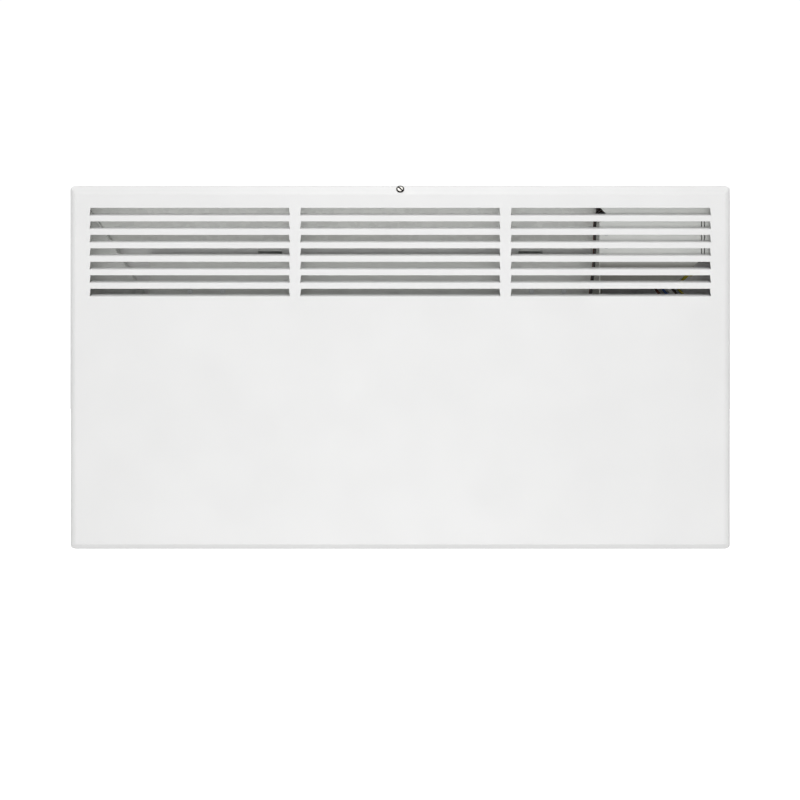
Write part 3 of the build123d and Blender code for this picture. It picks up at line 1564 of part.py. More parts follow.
def wire_limiter_back():
    """From the cut-out back over the partition to both switches."""
    (x, y, z), receptacle = switch_tab(0, 1)
    start = (x, y - jumper_apart / 2, z)
    middle = hand([(295, -56, 57.5), (284, -52, 51), (266, -50, 38), (248, -57, 29.5), (232, -62, 23.5),
                   (219.5, -63.5, 26), (216.8, -63.5, 36), (216.5, -63, 50), (216.8, -60.5, 78), (214, -56, 108)])
    end = limiter_tab(0)
    last = [(end[0] + 1, end[1] + seat, end[2] + 2 * straight_end), end]
    tubing = tube("wire_limiter_back", [start] + middle + last, wire_r)
    (rear_x, rear_y, rear_z), rear_receptacle = switch_tab(1, 1)
    near = y + jumper_apart / 2
    turn_x = x - jumper_reach
    corners = [(x, near, z), (turn_x, near, z), (turn_x, rear_y, rear_z), (rear_x, rear_y, rear_z)]
    jumper = tube("jumper", corners, wire_r)
    return receptacle + tubing + jumper + rear_receptacle + limiter_sleeve(end[1])


def wire_neutral():
    """From the link at the element's left end along the floor and through the partition to the block."""
    link_x = rod_left - bush_l - link_t - link_back
    lane = floor_z + wire_r
    lane_y = case_in_y - floor_lane_y
    first = [(link_x, -element_y, element_z)] + hand([(-251, -49, 290), (-261, -46, 302), (-268, -42, 326),
                                                     (-269, -35, 356), (-265, -29, 382)])
    sways = [0, -1, 0.5, -0.5, 1, -0.5, 0.5, -1, 0]
    floor = [(across(floor_lane_at + i * floor_lane_run), lane_y + sway, lane) for i, sway in enumerate(sways)]
    rise = hand([(205, -22, 391), (212.5, -29, 383), (213, -33, 357), (211, -34, 331), (208, -34, 306),
                 (207, -35, 291)])
    right, left = through_grommet(side_wire_y, -side_wire_z)
    below, end = pole(0, -1)
    last = hand([(248, -36, 285), (266, -31, 286), (279, -26, 283)]) + [(below[0], below[1], below[2] - seat), end]
    return tube("wire_neutral", first + floor + rise + [left, right] + last, wire_r)


def capillary():
    """The thin tube from the thermostat down to its bulb."""
    left = pocket_back_x - thermo_x
    start = (left + thermo_x / 2, -knob_y, knob_z - thermo_z / 2)
    end = (bulb_x + bulb_l / 2, -bulb_y, drop(bulb_drop))
    below = (start[0], start[1], start[2] - 3 * straight_end)
    middle = hand([(326, -44, 82), (331.5, -43.5, 89), (345, -43, 91.5), (354.5, -43.5, 96.5), (357, -44, 110),
                   (357, -43.5, 150), (355.5, -44.5, 190), (357, -43.5, 235), (355.5, -44.5, 285), (357, -44, 335),
                   (355.5, -44, 362), (348.5, -44, 378)])
    return tube("capillary", [start, below] + middle + [(end[0] + straight_end, end[1], end[2]), end], capillary_r)


NODES = {
    "front_cover": front_cover,
    "cover_screw": cover_screw,
    "cover_nut": cover_nut,
    "cover_tab": cover_tab,
    "rear_case": rear_case,
    "roof_rivets": roof_rivets,
    "rear_rivets": rear_rivets,
    "wall_bracket": wall_bracket,
    "wall_spacer_left": lambda: wall_spacer(-1),
    "wall_spacer_right": lambda: wall_spacer(1),
    "foot_plate_left": lambda: foot_plate(-1),
    "foot_plate_right": lambda: foot_plate(1),
    "left_air_guide": left_air_guide,
    "partition": partition,
    "air_deflector": air_deflector,
    "rear_heat_shield": rear_heat_shield,
    "shield_standoff_left": lambda: shield_standoff(-1),
    "shield_standoff_right": lambda: shield_standoff(1),
    "shield_rivets": shield_rivets,
    "front_heat_shield": front_heat_shield,
    "element_fins": element_fins,
    "element_rods": element_rods,
    "element_bushes": element_bushes,
    "element_pins": element_pins,
    "element_link": element_link,
    "element_holder_left": lambda: element_holder(-1),
    "element_holder_right": lambda: element_holder(1),
    "limiter": limiter,
    "inner_rivets": inner_rivets,
    "control_shield": control_shield,
    "shield_screws": shield_screws,
    "control_panel": control_panel,
    "panel_screws": panel_screws,
    "thermostat_body": thermostat_body,
    "thermostat_nut": thermostat_nut,
    "thermostat_spindle": thermostat_spindle,
    "thermostat_knob": thermostat_knob,
    "switch_body_front": lambda: switch_body(0),
    "switch_body_rear": lambda: switch_body(1),
    "rocker_front": lambda: rocker(0),
    "rocker_rear": lambda: rocker(1),
    "terminal_block": terminal_block,
    "terminal_screws": terminal_screws,
    "earth_stud": earth_stud,
    "earth_nut": earth_nut,
    "cord_gland": cord_gland,
    "cable_clip": cable_clip,
    "clip_screw": clip_screw,
    "partition_grommet": partition_grommet,
    "sensor_bulb": sensor_bulb,
    "bulb_clips": bulb_clips,
    "wire_live": wire_live,
    "wire_lamp": wire_lamp,
    "wire_stage_one": wire_stage_one,
    "wire_stage_two": wire_stage_two,
    "wire_earth": wire_earth,
    "wire_limiter_out": wire_limiter_out,
    "wire_limiter_back": wire_limiter_back,
    "wire_neutral": wire_neutral,
    "capillary": capillary,
}

os.makedirs("parts", exist_ok=True)
for node, make in NODES.items():
    export_step(make(), f"parts/{node}.step")
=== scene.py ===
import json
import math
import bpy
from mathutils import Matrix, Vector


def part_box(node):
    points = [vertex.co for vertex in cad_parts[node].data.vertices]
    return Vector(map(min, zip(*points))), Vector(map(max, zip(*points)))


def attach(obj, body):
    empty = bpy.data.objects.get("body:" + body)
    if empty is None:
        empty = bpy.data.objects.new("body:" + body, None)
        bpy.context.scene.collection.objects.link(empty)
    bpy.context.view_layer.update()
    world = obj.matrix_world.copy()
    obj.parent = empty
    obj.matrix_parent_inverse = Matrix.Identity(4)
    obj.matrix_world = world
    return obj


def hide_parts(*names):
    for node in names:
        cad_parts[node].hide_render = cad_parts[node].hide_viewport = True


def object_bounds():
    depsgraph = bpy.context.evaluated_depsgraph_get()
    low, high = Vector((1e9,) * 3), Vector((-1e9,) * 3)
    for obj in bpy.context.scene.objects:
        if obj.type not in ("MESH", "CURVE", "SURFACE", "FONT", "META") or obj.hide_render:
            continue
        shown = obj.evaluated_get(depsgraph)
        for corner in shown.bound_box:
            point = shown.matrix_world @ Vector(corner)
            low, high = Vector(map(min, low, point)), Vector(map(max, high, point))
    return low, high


bl_info = {
    "name": "Wall panel convector heater",
    "version": (1, 0, 0),
    "blender": (4, 5, 0),
    "location": "3D View > Sidebar > Heater",
    "description": "Finishes, fine pieces, studio and camera for the packed wall heater",
    "category": "Object",
}

import bmesh
import bpy
from bpy.props import FloatProperty, FloatVectorProperty, IntProperty, PointerProperty
from bpy.types import Operator, Panel, PropertyGroup
from mathutils import Matrix, Vector

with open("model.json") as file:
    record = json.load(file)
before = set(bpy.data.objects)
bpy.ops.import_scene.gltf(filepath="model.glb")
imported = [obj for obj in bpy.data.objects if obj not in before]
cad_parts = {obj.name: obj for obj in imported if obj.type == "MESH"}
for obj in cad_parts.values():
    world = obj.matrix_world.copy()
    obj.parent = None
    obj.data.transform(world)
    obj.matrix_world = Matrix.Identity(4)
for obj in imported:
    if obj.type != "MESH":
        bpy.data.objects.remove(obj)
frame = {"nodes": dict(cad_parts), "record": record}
CAD_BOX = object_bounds()
NODES = frame["nodes"]
SLOT_OF = {part["node"]: part["material_slot"] for part in frame["record"]["subparts"]}
MM = 0.001
WHITE = (1, 1, 1, 1)

# how closely points are joined, and how near a surface a point counts as on it
MERGE = 0.001 * MM
WELD = 0.002 * MM
NEAR = 0.01 * MM

# the cover screw's head: how much the crown widens down to the ledge of the rim in painted shade, how far the
# ledge falls outwards, the bevel of its outer edge, and the bright lip of the slot, left out of the painted
# shade
CROWN_TAPER = 0.06 * MM
LEDGE_FALL = 0.10 * MM
HEAD_CHAMFER = 0.15 * MM
SLOT_LIP = 0.2 * MM

# its shank: the plain stretch under the head, the groove's floor above the core, and the bevelled tip
THREAD_START = 0.3 * MM
THREAD_ROOT = 0.05 * MM
TIP_LENGTH = 0.3 * MM

# how finely it is turned: steps in the crown, rings along the shank, and segments round
CROWN_STEPS = 10
SHANK_RINGS = 110
SCREW_SEGMENTS = 48

# how far outside a rocker the search for its surface starts
RAY_START = 10 * MM


# ---------------------------------------------------------------- sizes and colours

def colour_property(name, description, value):
    return FloatVectorProperty(name=name, description=description, subtype="COLOR", size=3, min=0, max=1,
                               default=value)


def length_property(name, description, value):
    return FloatProperty(name=name, description=description, subtype="DISTANCE", unit="LENGTH", default=value)


def place_property(name, description, value):
    return FloatVectorProperty(name=name, description=description, subtype="TRANSLATION", unit="LENGTH",
                               size=3, default=value)


def angle_property(name, description, degrees):
    return FloatProperty(name=name, description=description, subtype="ANGLE", default=math.radians(degrees))


def power_property(name, description, watts):
    return FloatProperty(name=name, description=description, unit="POWER", default=watts)


class HeaterColours(PropertyGroup):
    cover_paint: colour_property("Cover paint", "White powder coat of the cover", (0.725, 0.725, 0.722))
    # the case's white coat is real, made lighter than the cover's as painted light on the shaded inside of
    # the case
    case_paint: colour_property("Case paint", "White powder coat of the rear case", (0.88, 0.88, 0.87))
    shield_paint: colour_property("Shield paint", "Light grey control shield", (0.76, 0.77, 0.745))
    galvanised: colour_property("Galvanised sheet", "Inner plates", (0.89, 0.90, 0.87))
    bracket_zinc: colour_property("Bracket", "Galvanised sheet of the wall bracket", (0.58, 0.59, 0.575))
    bright_sheet: colour_property("Bright sheet", "Aluminised heat shields", (0.79, 0.80, 0.77))
    aluminium: colour_property("Aluminium", "Fins and rivets", (0.66, 0.67, 0.68))
    nickel: colour_property("Nickel", "Cover screw and the thermostat's nut", (0.36, 0.35, 0.33))
    zinc: colour_property("Zinc", "Plated screws, nuts and pins", (0.55, 0.56, 0.57))
    sheath: colour_property("Rod sheath", "Heat-darkened rods", (0.20, 0.18, 0.16))
    heat_stain: colour_property("Heat stain", "Browned bands on the rods", (0.30, 0.24, 0.20))
    ceramic: colour_property("Ceramic", "Bushes at the rods' ends", (0.80, 0.77, 0.70))
    phenolic: colour_property("Phenolic", "Thermostat and overheat cut-out", (0.030, 0.026, 0.024))
    white_plastic: colour_property("White plastic", "Control panel, knob and rockers", (0.80, 0.80, 0.79))
    black_plastic: colour_property("Black plastic", "Switch bodies, gland and clip", (0.020, 0.020, 0.021))
    rubber: colour_property("Rubber", "Wall spacers and grommet", (0.025, 0.025, 0.026))
    copper: colour_property("Copper", "Sensor bulb and its thin tube", (0.62, 0.31, 0.19))
    brown_wire: colour_property("Brown wire", "Live wire, and the one to the cut-out", (0.12, 0.035, 0.018))
    dark_brown_wire: colour_property("Dark brown wire", "Second stage's wire", (0.050, 0.022, 0.014))
    blue_wire: colour_property("Blue wire", "Neutral wires", (0.020, 0.085, 0.30))
    black_wire: colour_property("Black wire", "Wire back from the cut-out", (0.022, 0.018, 0.016))
    sleeve: colour_property("Sleeve", "Woven heat sleeve of the first stage's wire", (0.78, 0.78, 0.75))
    earth_green: colour_property("Earth green", "Earth wire", (0.05, 0.16, 0.03))
    earth_yellow: colour_property("Earth yellow", "Stripe of the earth wire", (0.62, 0.52, 0.03))
    # tones left under the painted shade on the lower parts of the shield, the deflector and the partition
    shield_dust: colour_property("Dust on the shield", "Tone left under its dust", (0.475, 0.465, 0.44))
    deflector_dust: colour_property("Dust on the deflector", "Tone left under its dust", (0.78, 0.78, 0.77))
    partition_dust: colour_property("Dust on the partition", "Tone left under its dust", (0.60, 0.59, 0.57))
    # painted shade: near-black on the cover screw's rim and in its slot
    dark_rim: colour_property("Dark rim", "Rim and slot of the cover screw", (0.020, 0.019, 0.018))
    print_grey: colour_property("Print", "Marks beside the knob and on the rockers", (0.16, 0.17, 0.18))


class HeaterSizes(PropertyGroup):
    smooth_angle: angle_property("Smooth angle", "Edges sharper than this stay crisp", 35)
    coat_grain: length_property("Coat grain", "Size of the powder coat's grain", 1.1 * MM)
    spangle: length_property("Spangle", "Size of the crystals on galvanised sheet", 7.0 * MM)
    # heights where the painted shade starts on the shield, the deflector and the partition, and the runs over
    # which it deepens
    shield_dust_top: length_property("Shield's dust", "Height where its dust starts", 19.0 * MM)
    shield_dust_run: length_property("Shield's dust run", "Height over which it thickens", 13.0 * MM)
    deflector_dust_top: length_property("Deflector's dust", "Height where its dust starts", 52.0 * MM)
    deflector_dust_run: length_property("Deflector's dust run", "Height over which it thickens", 11.0 * MM)
    partition_dust_top: length_property("Partition's dust", "Height where its dust starts", 20.0 * MM)
    partition_dust_run: length_property("Partition's dust run", "Height over which it thickens", 12.0 * MM)
    head_radius: length_property("Screw head", "Radius of the cover screw's head", 4.35 * MM)
    head_height: length_property("Head height", "Height of the cover screw's head", 1.7 * MM)
    # from this radius outwards the head takes the painted shade
    rim_radius: length_property("Head's rim", "Radius where the head's rim in painted shade starts", 3.35 * MM)
    crown_fall: length_property("Crown", "How far the head's crown falls towards its rim", 0.35 * MM)
    rim_drop: length_property("Rim's drop", "From the crown's top down to the rim", 0.75 * MM)
    slot_width: length_property("Slot width", "Width of the screw's slot", 1.7 * MM)
    slot_depth: length_property("Slot depth", "Depth of the screw's slot", 1.1 * MM)
    slot_turn: angle_property("Slot's turn", "How the slot lies on the strip", -45)
    shank_radius: length_property("Shank", "Outer radius of the screw's thread", 2.0 * MM)
    shank_length: length_property("Shank length", "Length of the screw's thread", 10.0 * MM)
    thread_pitch: length_property("Thread pitch", "Rise of the thread in one turn", 0.7 * MM)
    thread_depth: length_property("Thread depth", "Depth of the thread's groove", 0.4 * MM)
    screw_drop: length_property("Screw's drop", "From the cover's top to the screw, up and down", 4.1 * MM)
    strip_rise: length_property("Strip's rise", "Height of the cover's sloped strip", 10.3 * MM)
    strip_run: length_property("Strip's run", "How far the sloped strip runs back", 4.5 * MM)
    dial_tick_from: length_property("Tick from", "Radius where the scale's ticks start", 13.6 * MM)
    dial_tick_to: length_property("Tick to", "Radius where the scale's ticks end", 14.8 * MM)
    dial_number_at: length_property("Numbers at", "Radius of the numbers' middles", 16.3 * MM)
    number_height: length_property("Number height", "Type size of the scale's numbers", 2.6 * MM)
    dial_last: IntProperty(name="Last number", description="Last number on the scale", default=6)
    dial_turn: angle_property("Dial's turn", "Turn from the first number to the last", 270)
    tick_width: length_property("Tick width", "Width of the scale's ticks", 0.5 * MM)
    knob_gap: length_property("Knob's gap", "From the pocket's floor to the knob", 0.8 * MM)
    line_width: length_property("Line width", "Width of the line on the pointer", 0.8 * MM)
    line_length: length_property("Line length", "Length of the line on the pointer", 6.5 * MM)
    line_at: length_property("Line at", "From the knob's middle to the line's middle", 5.25 * MM)
    print_thickness: length_property("Print thickness", "How far print stands out", 0.05 * MM)
    rocker_mark_at: length_property("Marks at", "From a rocker's middle to each of its marks", 5.0 * MM)
    rocker_mark_height: length_property("Mark height", "Type size of the marks on the rockers", 4.2 * MM)


class HeaterStudio(PropertyGroup):
    camera_distance: length_property("Camera distance", "From the cover's face to the camera", 1.3)
    photo_scale: length_property("Photo scale", "Width of one pixel on the cover's face", 1.0972 * MM)
    photo_side: IntProperty(name="Photo side", description="Pixels along the picture's side", default=800)
    centre_px: FloatVectorProperty(name="Centre", description="Pixel of the cover's centre", size=2,
                                   default=(400.25, 367.5))
    fill: FloatProperty(name="Fill light", description="Light from all round", default=0.68)
    behind: FloatProperty(name="Rear light", description="Extra light from behind", default=0.25)
    backdrop: FloatProperty(name="Backdrop", description="White that the camera sees", default=1.05)
    floor_glow: FloatProperty(name="Floor's glow", description="Glow that the camera sees", default=0.9)
    floor_half: length_property("Floor's half", "Half of the floor's side", 30)
    key_place: place_property("Key light's place", "Middle of its soft box", (0, -1.95, -0.10))
    low_place: place_property("Low light's place", "Middle of its soft box", (0, -1.80, -1.00))
    high_place: place_property("High light's place", "Middle of its soft box", (0, -1.20, 1.40))
    box_side: length_property("Soft box", "Side of each soft box", 1.0)
    key_power: power_property("Key light", "Soft box by the camera", 3.0)
    low_power: power_property("Low light", "Soft box low in front", 13.0)
    high_power: power_property("High light", "Soft box high in front", 11.0)
    floor_drop: length_property("Floor", "How far the floor lies below the heater", 0.9)


GROUPS = {"heater_colours": HeaterColours, "heater_sizes": HeaterSizes, "heater_studio": HeaterStudio}


def colours():
    return bpy.context.scene.heater_colours


def sizes():
    return bpy.context.scene.heater_sizes


# ---------------------------------------------------------------- finishes

def principled(tree):
    """The main shader of a material's tree."""
    return next(node for node in tree.nodes if node.type == "BSDF_PRINCIPLED")


def start_finish(name, colour, roughness, metallic=0.0):
    """A material with its shader's plain values set."""
    material = bpy.data.materials.new(name)
    material.use_nodes = True
    tree = material.node_tree
    shader = principled(tree)
    shader.inputs["Base Color"].default_value = (*colour, 1)
    shader.inputs["Roughness"].default_value = roughness
    shader.inputs["Metallic"].default_value = metallic
    return material, tree, shader


def object_space(tree, stretch=(1, 1, 1)):
    """The surface's own place, in metres, drawn out along an axis where stretch is under 1."""
    place = tree.nodes.new("ShaderNodeTexCoord")
    mapping = tree.nodes.new("ShaderNodeMapping")
    mapping.inputs["Scale"].default_value = stretch
    tree.links.new(place.outputs["Object"], mapping.inputs["Vector"])
    return mapping.outputs["Vector"]


def grain(tree, size, detail=2.0, roughness=0.5, stretch=(1, 1, 1)):
    """A cloudy pattern whose patches are about this size."""
    texture = tree.nodes.new("ShaderNodeTexNoise")
    texture.inputs["Scale"].default_value = 1 / size
    texture.inputs["Detail"].default_value = detail
    texture.inputs["Roughness"].default_value = roughness
    tree.links.new(object_space(tree, stretch), texture.inputs["Vector"])
    return texture.outputs["Fac"]


def crystals(tree, size):
    """A value that is constant on each crystal."""
    texture = tree.nodes.new("ShaderNodeTexVoronoi")
    texture.inputs["Scale"].default_value = 1 / size
    texture.inputs["Randomness"].default_value = 1.0
    tree.links.new(object_space(tree), texture.inputs["Vector"])
    apart = tree.nodes.new("ShaderNodeSeparateColor")
    tree.links.new(texture.outputs["Color"], apart.inputs["Color"])
    return apart.outputs["Red"]


def along(tree, direction, axis):
    """How far a direction points along an axis."""
    dot = tree.nodes.new("ShaderNodeVectorMath")
    dot.operation = "DOT_PRODUCT"
    dot.inputs[1].default_value = axis
    tree.links.new(direction, dot.inputs[0])
    return dot.outputs["Value"]


def spread(tree, value, low, high):
    """A pattern's middle range, carried to low and high."""
    ranged = tree.nodes.new("ShaderNodeMapRange")
    ranged.inputs["From Min"].default_value = 0.3
    ranged.inputs["From Max"].default_value = 0.7
    ranged.inputs["To Min"].default_value = low
    ranged.inputs["To Max"].default_value = high
    tree.links.new(value, ranged.inputs["Value"])
    return ranged.outputs["Result"]


def blend(tree, shader, share, first, second):
    """Runs the shader's colour from the first tone to the second as the share goes from 0 to 1."""
    mix = tree.nodes.new("ShaderNodeMix")
    mix.data_type = "RGBA"
    tones = [socket for socket in mix.inputs if socket.type == "RGBA"]
    tones[0].default_value = (*first, 1)
    tones[1].default_value = (*second, 1)
    tree.links.new(share, mix.inputs[0])
    result = next(socket for socket in mix.outputs if socket.type == "RGBA")
    tree.links.new(result, shader.inputs["Base Color"])


def tint(tree, shader, pattern, dark, light):
    """Lets the colour run between two tones with the pattern."""
    blend(tree, shader, spread(tree, pattern, 0, 1), dark, light)


def uneven_gloss(tree, shader, pattern, low, high):
    """Lets the roughness run between two values with the pattern."""
    tree.links.new(spread(tree, pattern, low, high), shader.inputs["Roughness"])


def relief(tree, shader, pattern, depth):
    """Raises the surface with the pattern, by this depth in metres."""
    bump = tree.nodes.new("ShaderNodeBump")
    bump.inputs["Strength"].default_value = 1.0
    bump.inputs["Distance"].default_value = depth
    tree.links.new(pattern, bump.inputs["Height"])
    tree.links.new(bump.outputs["Normal"], shader.inputs["Normal"])


def toned(colour, share):
    """The colour made darker, or lighter where the share is over 1."""
    return tuple(min(1.0, part * share) for part in colour)


def powder_coat(name, colour, roughness=0.42):
    """Fine-grained powder coat."""
    material, tree, shader = start_finish(name, colour, roughness)
    tint(tree, shader, grain(tree, 60 * MM, detail=1.0), toned(colour, 0.985), toned(colour, 1.01))
    size = sizes().coat_grain
    relief(tree, shader, grain(tree, size, detail=3.0, roughness=0.55), 0.012 * MM)
    uneven_gloss(tree, shader, grain(tree, 6 * size), roughness - 0.03, roughness + 0.04)
    shader.inputs["Specular IOR Level"].default_value = 0.45
    return material


def dusty_below(material, top, run, share):
    """Darkens a finish below a height with painted shade; share is the tone left, per channel."""
    tree = material.node_tree
    shader = principled(tree)
    clean = shader.inputs["Base Color"].links[0].from_socket
    height = tree.nodes.new("ShaderNodeSeparateXYZ")
    tree.links.new(object_space(tree), height.inputs[0])
    # painted shade: below the top height the colour darkens smoothly over the run, down to the share
    shadow = tree.nodes.new("ShaderNodeMapRange")
    shadow.data_type = "FLOAT_VECTOR"
    shadow.interpolation_type = "SMOOTHSTEP"
    ends = {socket.identifier: socket for socket in shadow.inputs}
    ends["From_Min_FLOAT3"].default_value = (top - run,) * 3
    ends["From_Max_FLOAT3"].default_value = (top,) * 3
    ends["To_Min_FLOAT3"].default_value = share
    ends["To_Max_FLOAT3"].default_value = (1, 1, 1)
    tree.links.new(height.outputs["Z"], ends["Vector"])
    shade = tree.nodes.new("ShaderNodeVectorMath")
    shade.operation = "MULTIPLY"
    tree.links.new(clean, shade.inputs[0])
    tree.links.new(shadow.outputs["Vector"], shade.inputs[1])
    tree.links.new(shade.outputs["Vector"], shader.inputs["Base Color"])
    return material


def galvanised_sheet(name, colour, roughness=0.42):
    """Zinc-coated sheet with its crystals and a rolled grain."""
    material, tree, shader = start_finish(name, colour, roughness, metallic=0.05)
    size = sizes().spangle
    tint(tree, shader, crystals(tree, size), toned(colour, 0.97), toned(colour, 1.03))
    uneven_gloss(tree, shader, crystals(tree, size), roughness - 0.06, roughness + 0.08)
    relief(tree, shader, grain(tree, 0.9 * MM, stretch=(0.08, 1, 1)), 0.004 * MM)
    return material


def rolled_sheet(name, colour, roughness=0.34):
    """Aluminised sheet with the fine lines of rolling."""
    material, tree, shader = start_finish(name, colour, roughness, metallic=0.2)
    lines = grain(tree, 0.6 * MM, detail=3.0, roughness=0.6, stretch=(0.03, 1, 1))
    tint(tree, shader, lines, toned(colour, 0.93), toned(colour, 1.05))
    uneven_gloss(tree, shader, grain(tree, 20 * MM), roughness - 0.05, roughness + 0.08)
    relief(tree, shader, lines, 0.003 * MM)
    return material


def plated(name, colour, roughness):
    """Turned and plated metal."""
    material, tree, shader = start_finish(name, colour, roughness, metallic=1.0)
    marks = grain(tree, 0.35 * MM, detail=3.0, roughness=0.6)
    tint(tree, shader, grain(tree, 2.2 * MM), toned(colour, 0.9), toned(colour, 1.06))
    uneven_gloss(tree, shader, marks, roughness - 0.06, roughness + 0.1)
    relief(tree, shader, marks, 0.004 * MM)
    return material


def heat_stained(name, colour, stain):
    """Steel sheath that heat has browned in bands."""
    material, tree, shader = start_finish(name, colour, roughness=0.5, metallic=0.85)
    tint(tree, shader, grain(tree, 18 * MM, detail=3.0), toned(colour, 0.7), stain)
    relief(tree, shader, grain(tree, 0.8 * MM, detail=3.0), 0.01 * MM)
    return material


def glazed(name, colour):
    """Glazed ceramic."""
    material, tree, shader = start_finish(name, colour, roughness=0.22)
    tint(tree, shader, grain(tree, 3 * MM), toned(colour, 0.93), toned(colour, 1.03))
    relief(tree, shader, grain(tree, 1.6 * MM), 0.02 * MM)
    shader.inputs["Coat Weight"].default_value = 0.3
    return material


def moulded(name, colour, roughness=0.4, texture=0.5 * MM):
    """Moulded plastic with a fine spark-eroded texture."""
    material, tree, shader = start_finish(name, colour, roughness)
    tint(tree, shader, grain(tree, 14 * MM, detail=1.0), toned(colour, 0.97), toned(colour, 1.02))
    relief(tree, shader, grain(tree, texture), 0.008 * MM)
    uneven_gloss(tree, shader, grain(tree, 4 * MM), roughness - 0.03, roughness + 0.05)
    return material


def soft_rubber(name, colour):
    """Matte rubber with a dusty bloom."""
    material, tree, shader = start_finish(name, colour, roughness=0.75)
    tint(tree, shader, grain(tree, 5 * MM, detail=3.0), colour, toned(colour, 1.9))
    relief(tree, shader, grain(tree, 0.7 * MM), 0.02 * MM)
    return material


def insulation(name, colour):
    """Extruded wire insulation."""
    material, tree, shader = start_finish(name, colour, roughness=0.38)
    tint(tree, shader, grain(tree, 9 * MM), toned(colour, 0.86), toned(colour, 1.12))
    relief(tree, shader, grain(tree, 0.5 * MM), 0.006 * MM)
    return material


def striped_insulation(name, green, yellow):
    """Earth wire: green, with a yellow stripe along the side that faces up and forward."""
    material, tree, shader = start_finish(name, green, roughness=0.38)
    surface = tree.nodes.new("ShaderNodeNewGeometry")
    edge = tree.nodes.new("ShaderNodeMapRange")
    edge.inputs["From Min"].default_value = -0.15
    edge.inputs["From Max"].default_value = -0.05
    striped_side = (-0.35, -0.75, 0.55)
    tree.links.new(along(tree, surface.outputs["Normal"], striped_side), edge.inputs["Value"])
    blend(tree, shader, edge.outputs["Result"], green, yellow)
    relief(tree, shader, grain(tree, 0.5 * MM), 0.006 * MM)
    return material


def woven_sleeve(name, colour):
    """Woven glass sleeving: two sets of crossing yarns."""
    material, tree, shader = start_finish(name, colour, roughness=0.7)
    both = tree.nodes.new("ShaderNodeMath")
    both.operation = "MAXIMUM"
    for tilt, height in zip((45, -45), both.inputs):
        place = tree.nodes.new("ShaderNodeTexCoord")
        turn = tree.nodes.new("ShaderNodeMapping")
        turn.inputs["Rotation"].default_value = (math.radians(20), math.radians(tilt), 0)
        tree.links.new(place.outputs["Object"], turn.inputs["Vector"])
        yarn = tree.nodes.new("ShaderNodeTexWave")
        yarn.inputs["Scale"].default_value = 0.32 / MM
        yarn.inputs["Distortion"].default_value = 0.6
        tree.links.new(turn.outputs["Vector"], yarn.inputs["Vector"])
        tree.links.new(yarn.outputs["Fac"], height)
    tint(tree, shader, both.outputs["Value"], toned(colour, 0.72), colour)
    relief(tree, shader, both.outputs["Value"], 0.12 * MM)
    return material


def finish_for(slot):
    """The material of one of the record's slots."""
    tone = colours()
    makers = {
        "cover_paint": lambda: powder_coat("white powder coat", tone.cover_paint),
        "galvanised": lambda: galvanised_sheet("galvanised sheet", tone.galvanised),
        "bright_sheet": lambda: rolled_sheet("bright heat shield", tone.bright_sheet),
        "rivet": lambda: plated("rivet aluminium", tone.aluminium, roughness=0.38),
        "fins": lambda: rolled_sheet("fin aluminium", tone.aluminium, roughness=0.4),
        "nickel": lambda: plated("nickel plate", tone.nickel, roughness=0.2),
        "zinc": lambda: plated("zinc plate", tone.zinc, roughness=0.34),
        "sheath": lambda: heat_stained("stained rod sheath", tone.sheath, tone.heat_stain),
        "ceramic": lambda: glazed("glazed ceramic", tone.ceramic),
        "phenolic": lambda: moulded("dark phenolic", tone.phenolic, roughness=0.3, texture=0.8 * MM),
        "white_plastic": lambda: moulded("white moulding", tone.white_plastic),
        "black_plastic": lambda: moulded("black moulding", tone.black_plastic, roughness=0.45),
        "rubber": lambda: soft_rubber("spacer rubber", tone.rubber),
        "copper": lambda: plated("bare copper", tone.copper, roughness=0.32),
        "brown_wire": lambda: insulation("brown insulation", tone.brown_wire),
        "dark_brown_wire": lambda: insulation("dark brown insulation", tone.dark_brown_wire),
        "blue_wire": lambda: insulation("blue insulation", tone.blue_wire),
        "black_wire": lambda: insulation("black insulation", tone.black_wire),
        "white_sleeve": lambda: woven_sleeve("woven heat sleeve", tone.sleeve),
        "earth_wire": lambda: striped_insulation("earth insulation", tone.earth_green, tone.earth_yellow),
    }
    return makers[slot]()


def own_finishes():
    """The materials of the pieces whose finish differs from the rest of their slot."""
    tone, size = colours(), sizes()
    return {
        "wall_bracket": galvanised_sheet("galvanised bracket", tone.bracket_zinc, roughness=0.36),
        # a lighter copy of the white coat, as painted light on the case's shaded inside
        "rear_case": powder_coat("lightened white case coat", tone.case_paint),
        # the shield, the deflector and the partition are darkened lower down with painted shade
        "control_shield": dusty_below(powder_coat("shield paint with painted shade", tone.shield_paint, roughness=0.5),
                                      size.shield_dust_top, size.shield_dust_run, tone.shield_dust),
        "air_deflector": dusty_below(galvanised_sheet("deflector with painted shade", tone.galvanised),
                                     size.deflector_dust_top, size.deflector_dust_run, tone.deflector_dust),
        "partition": dusty_below(galvanised_sheet("partition with painted shade", tone.galvanised),
                                 size.partition_dust_top, size.partition_dust_run, tone.partition_dust),
    }


# ---------------------------------------------------------------- edges

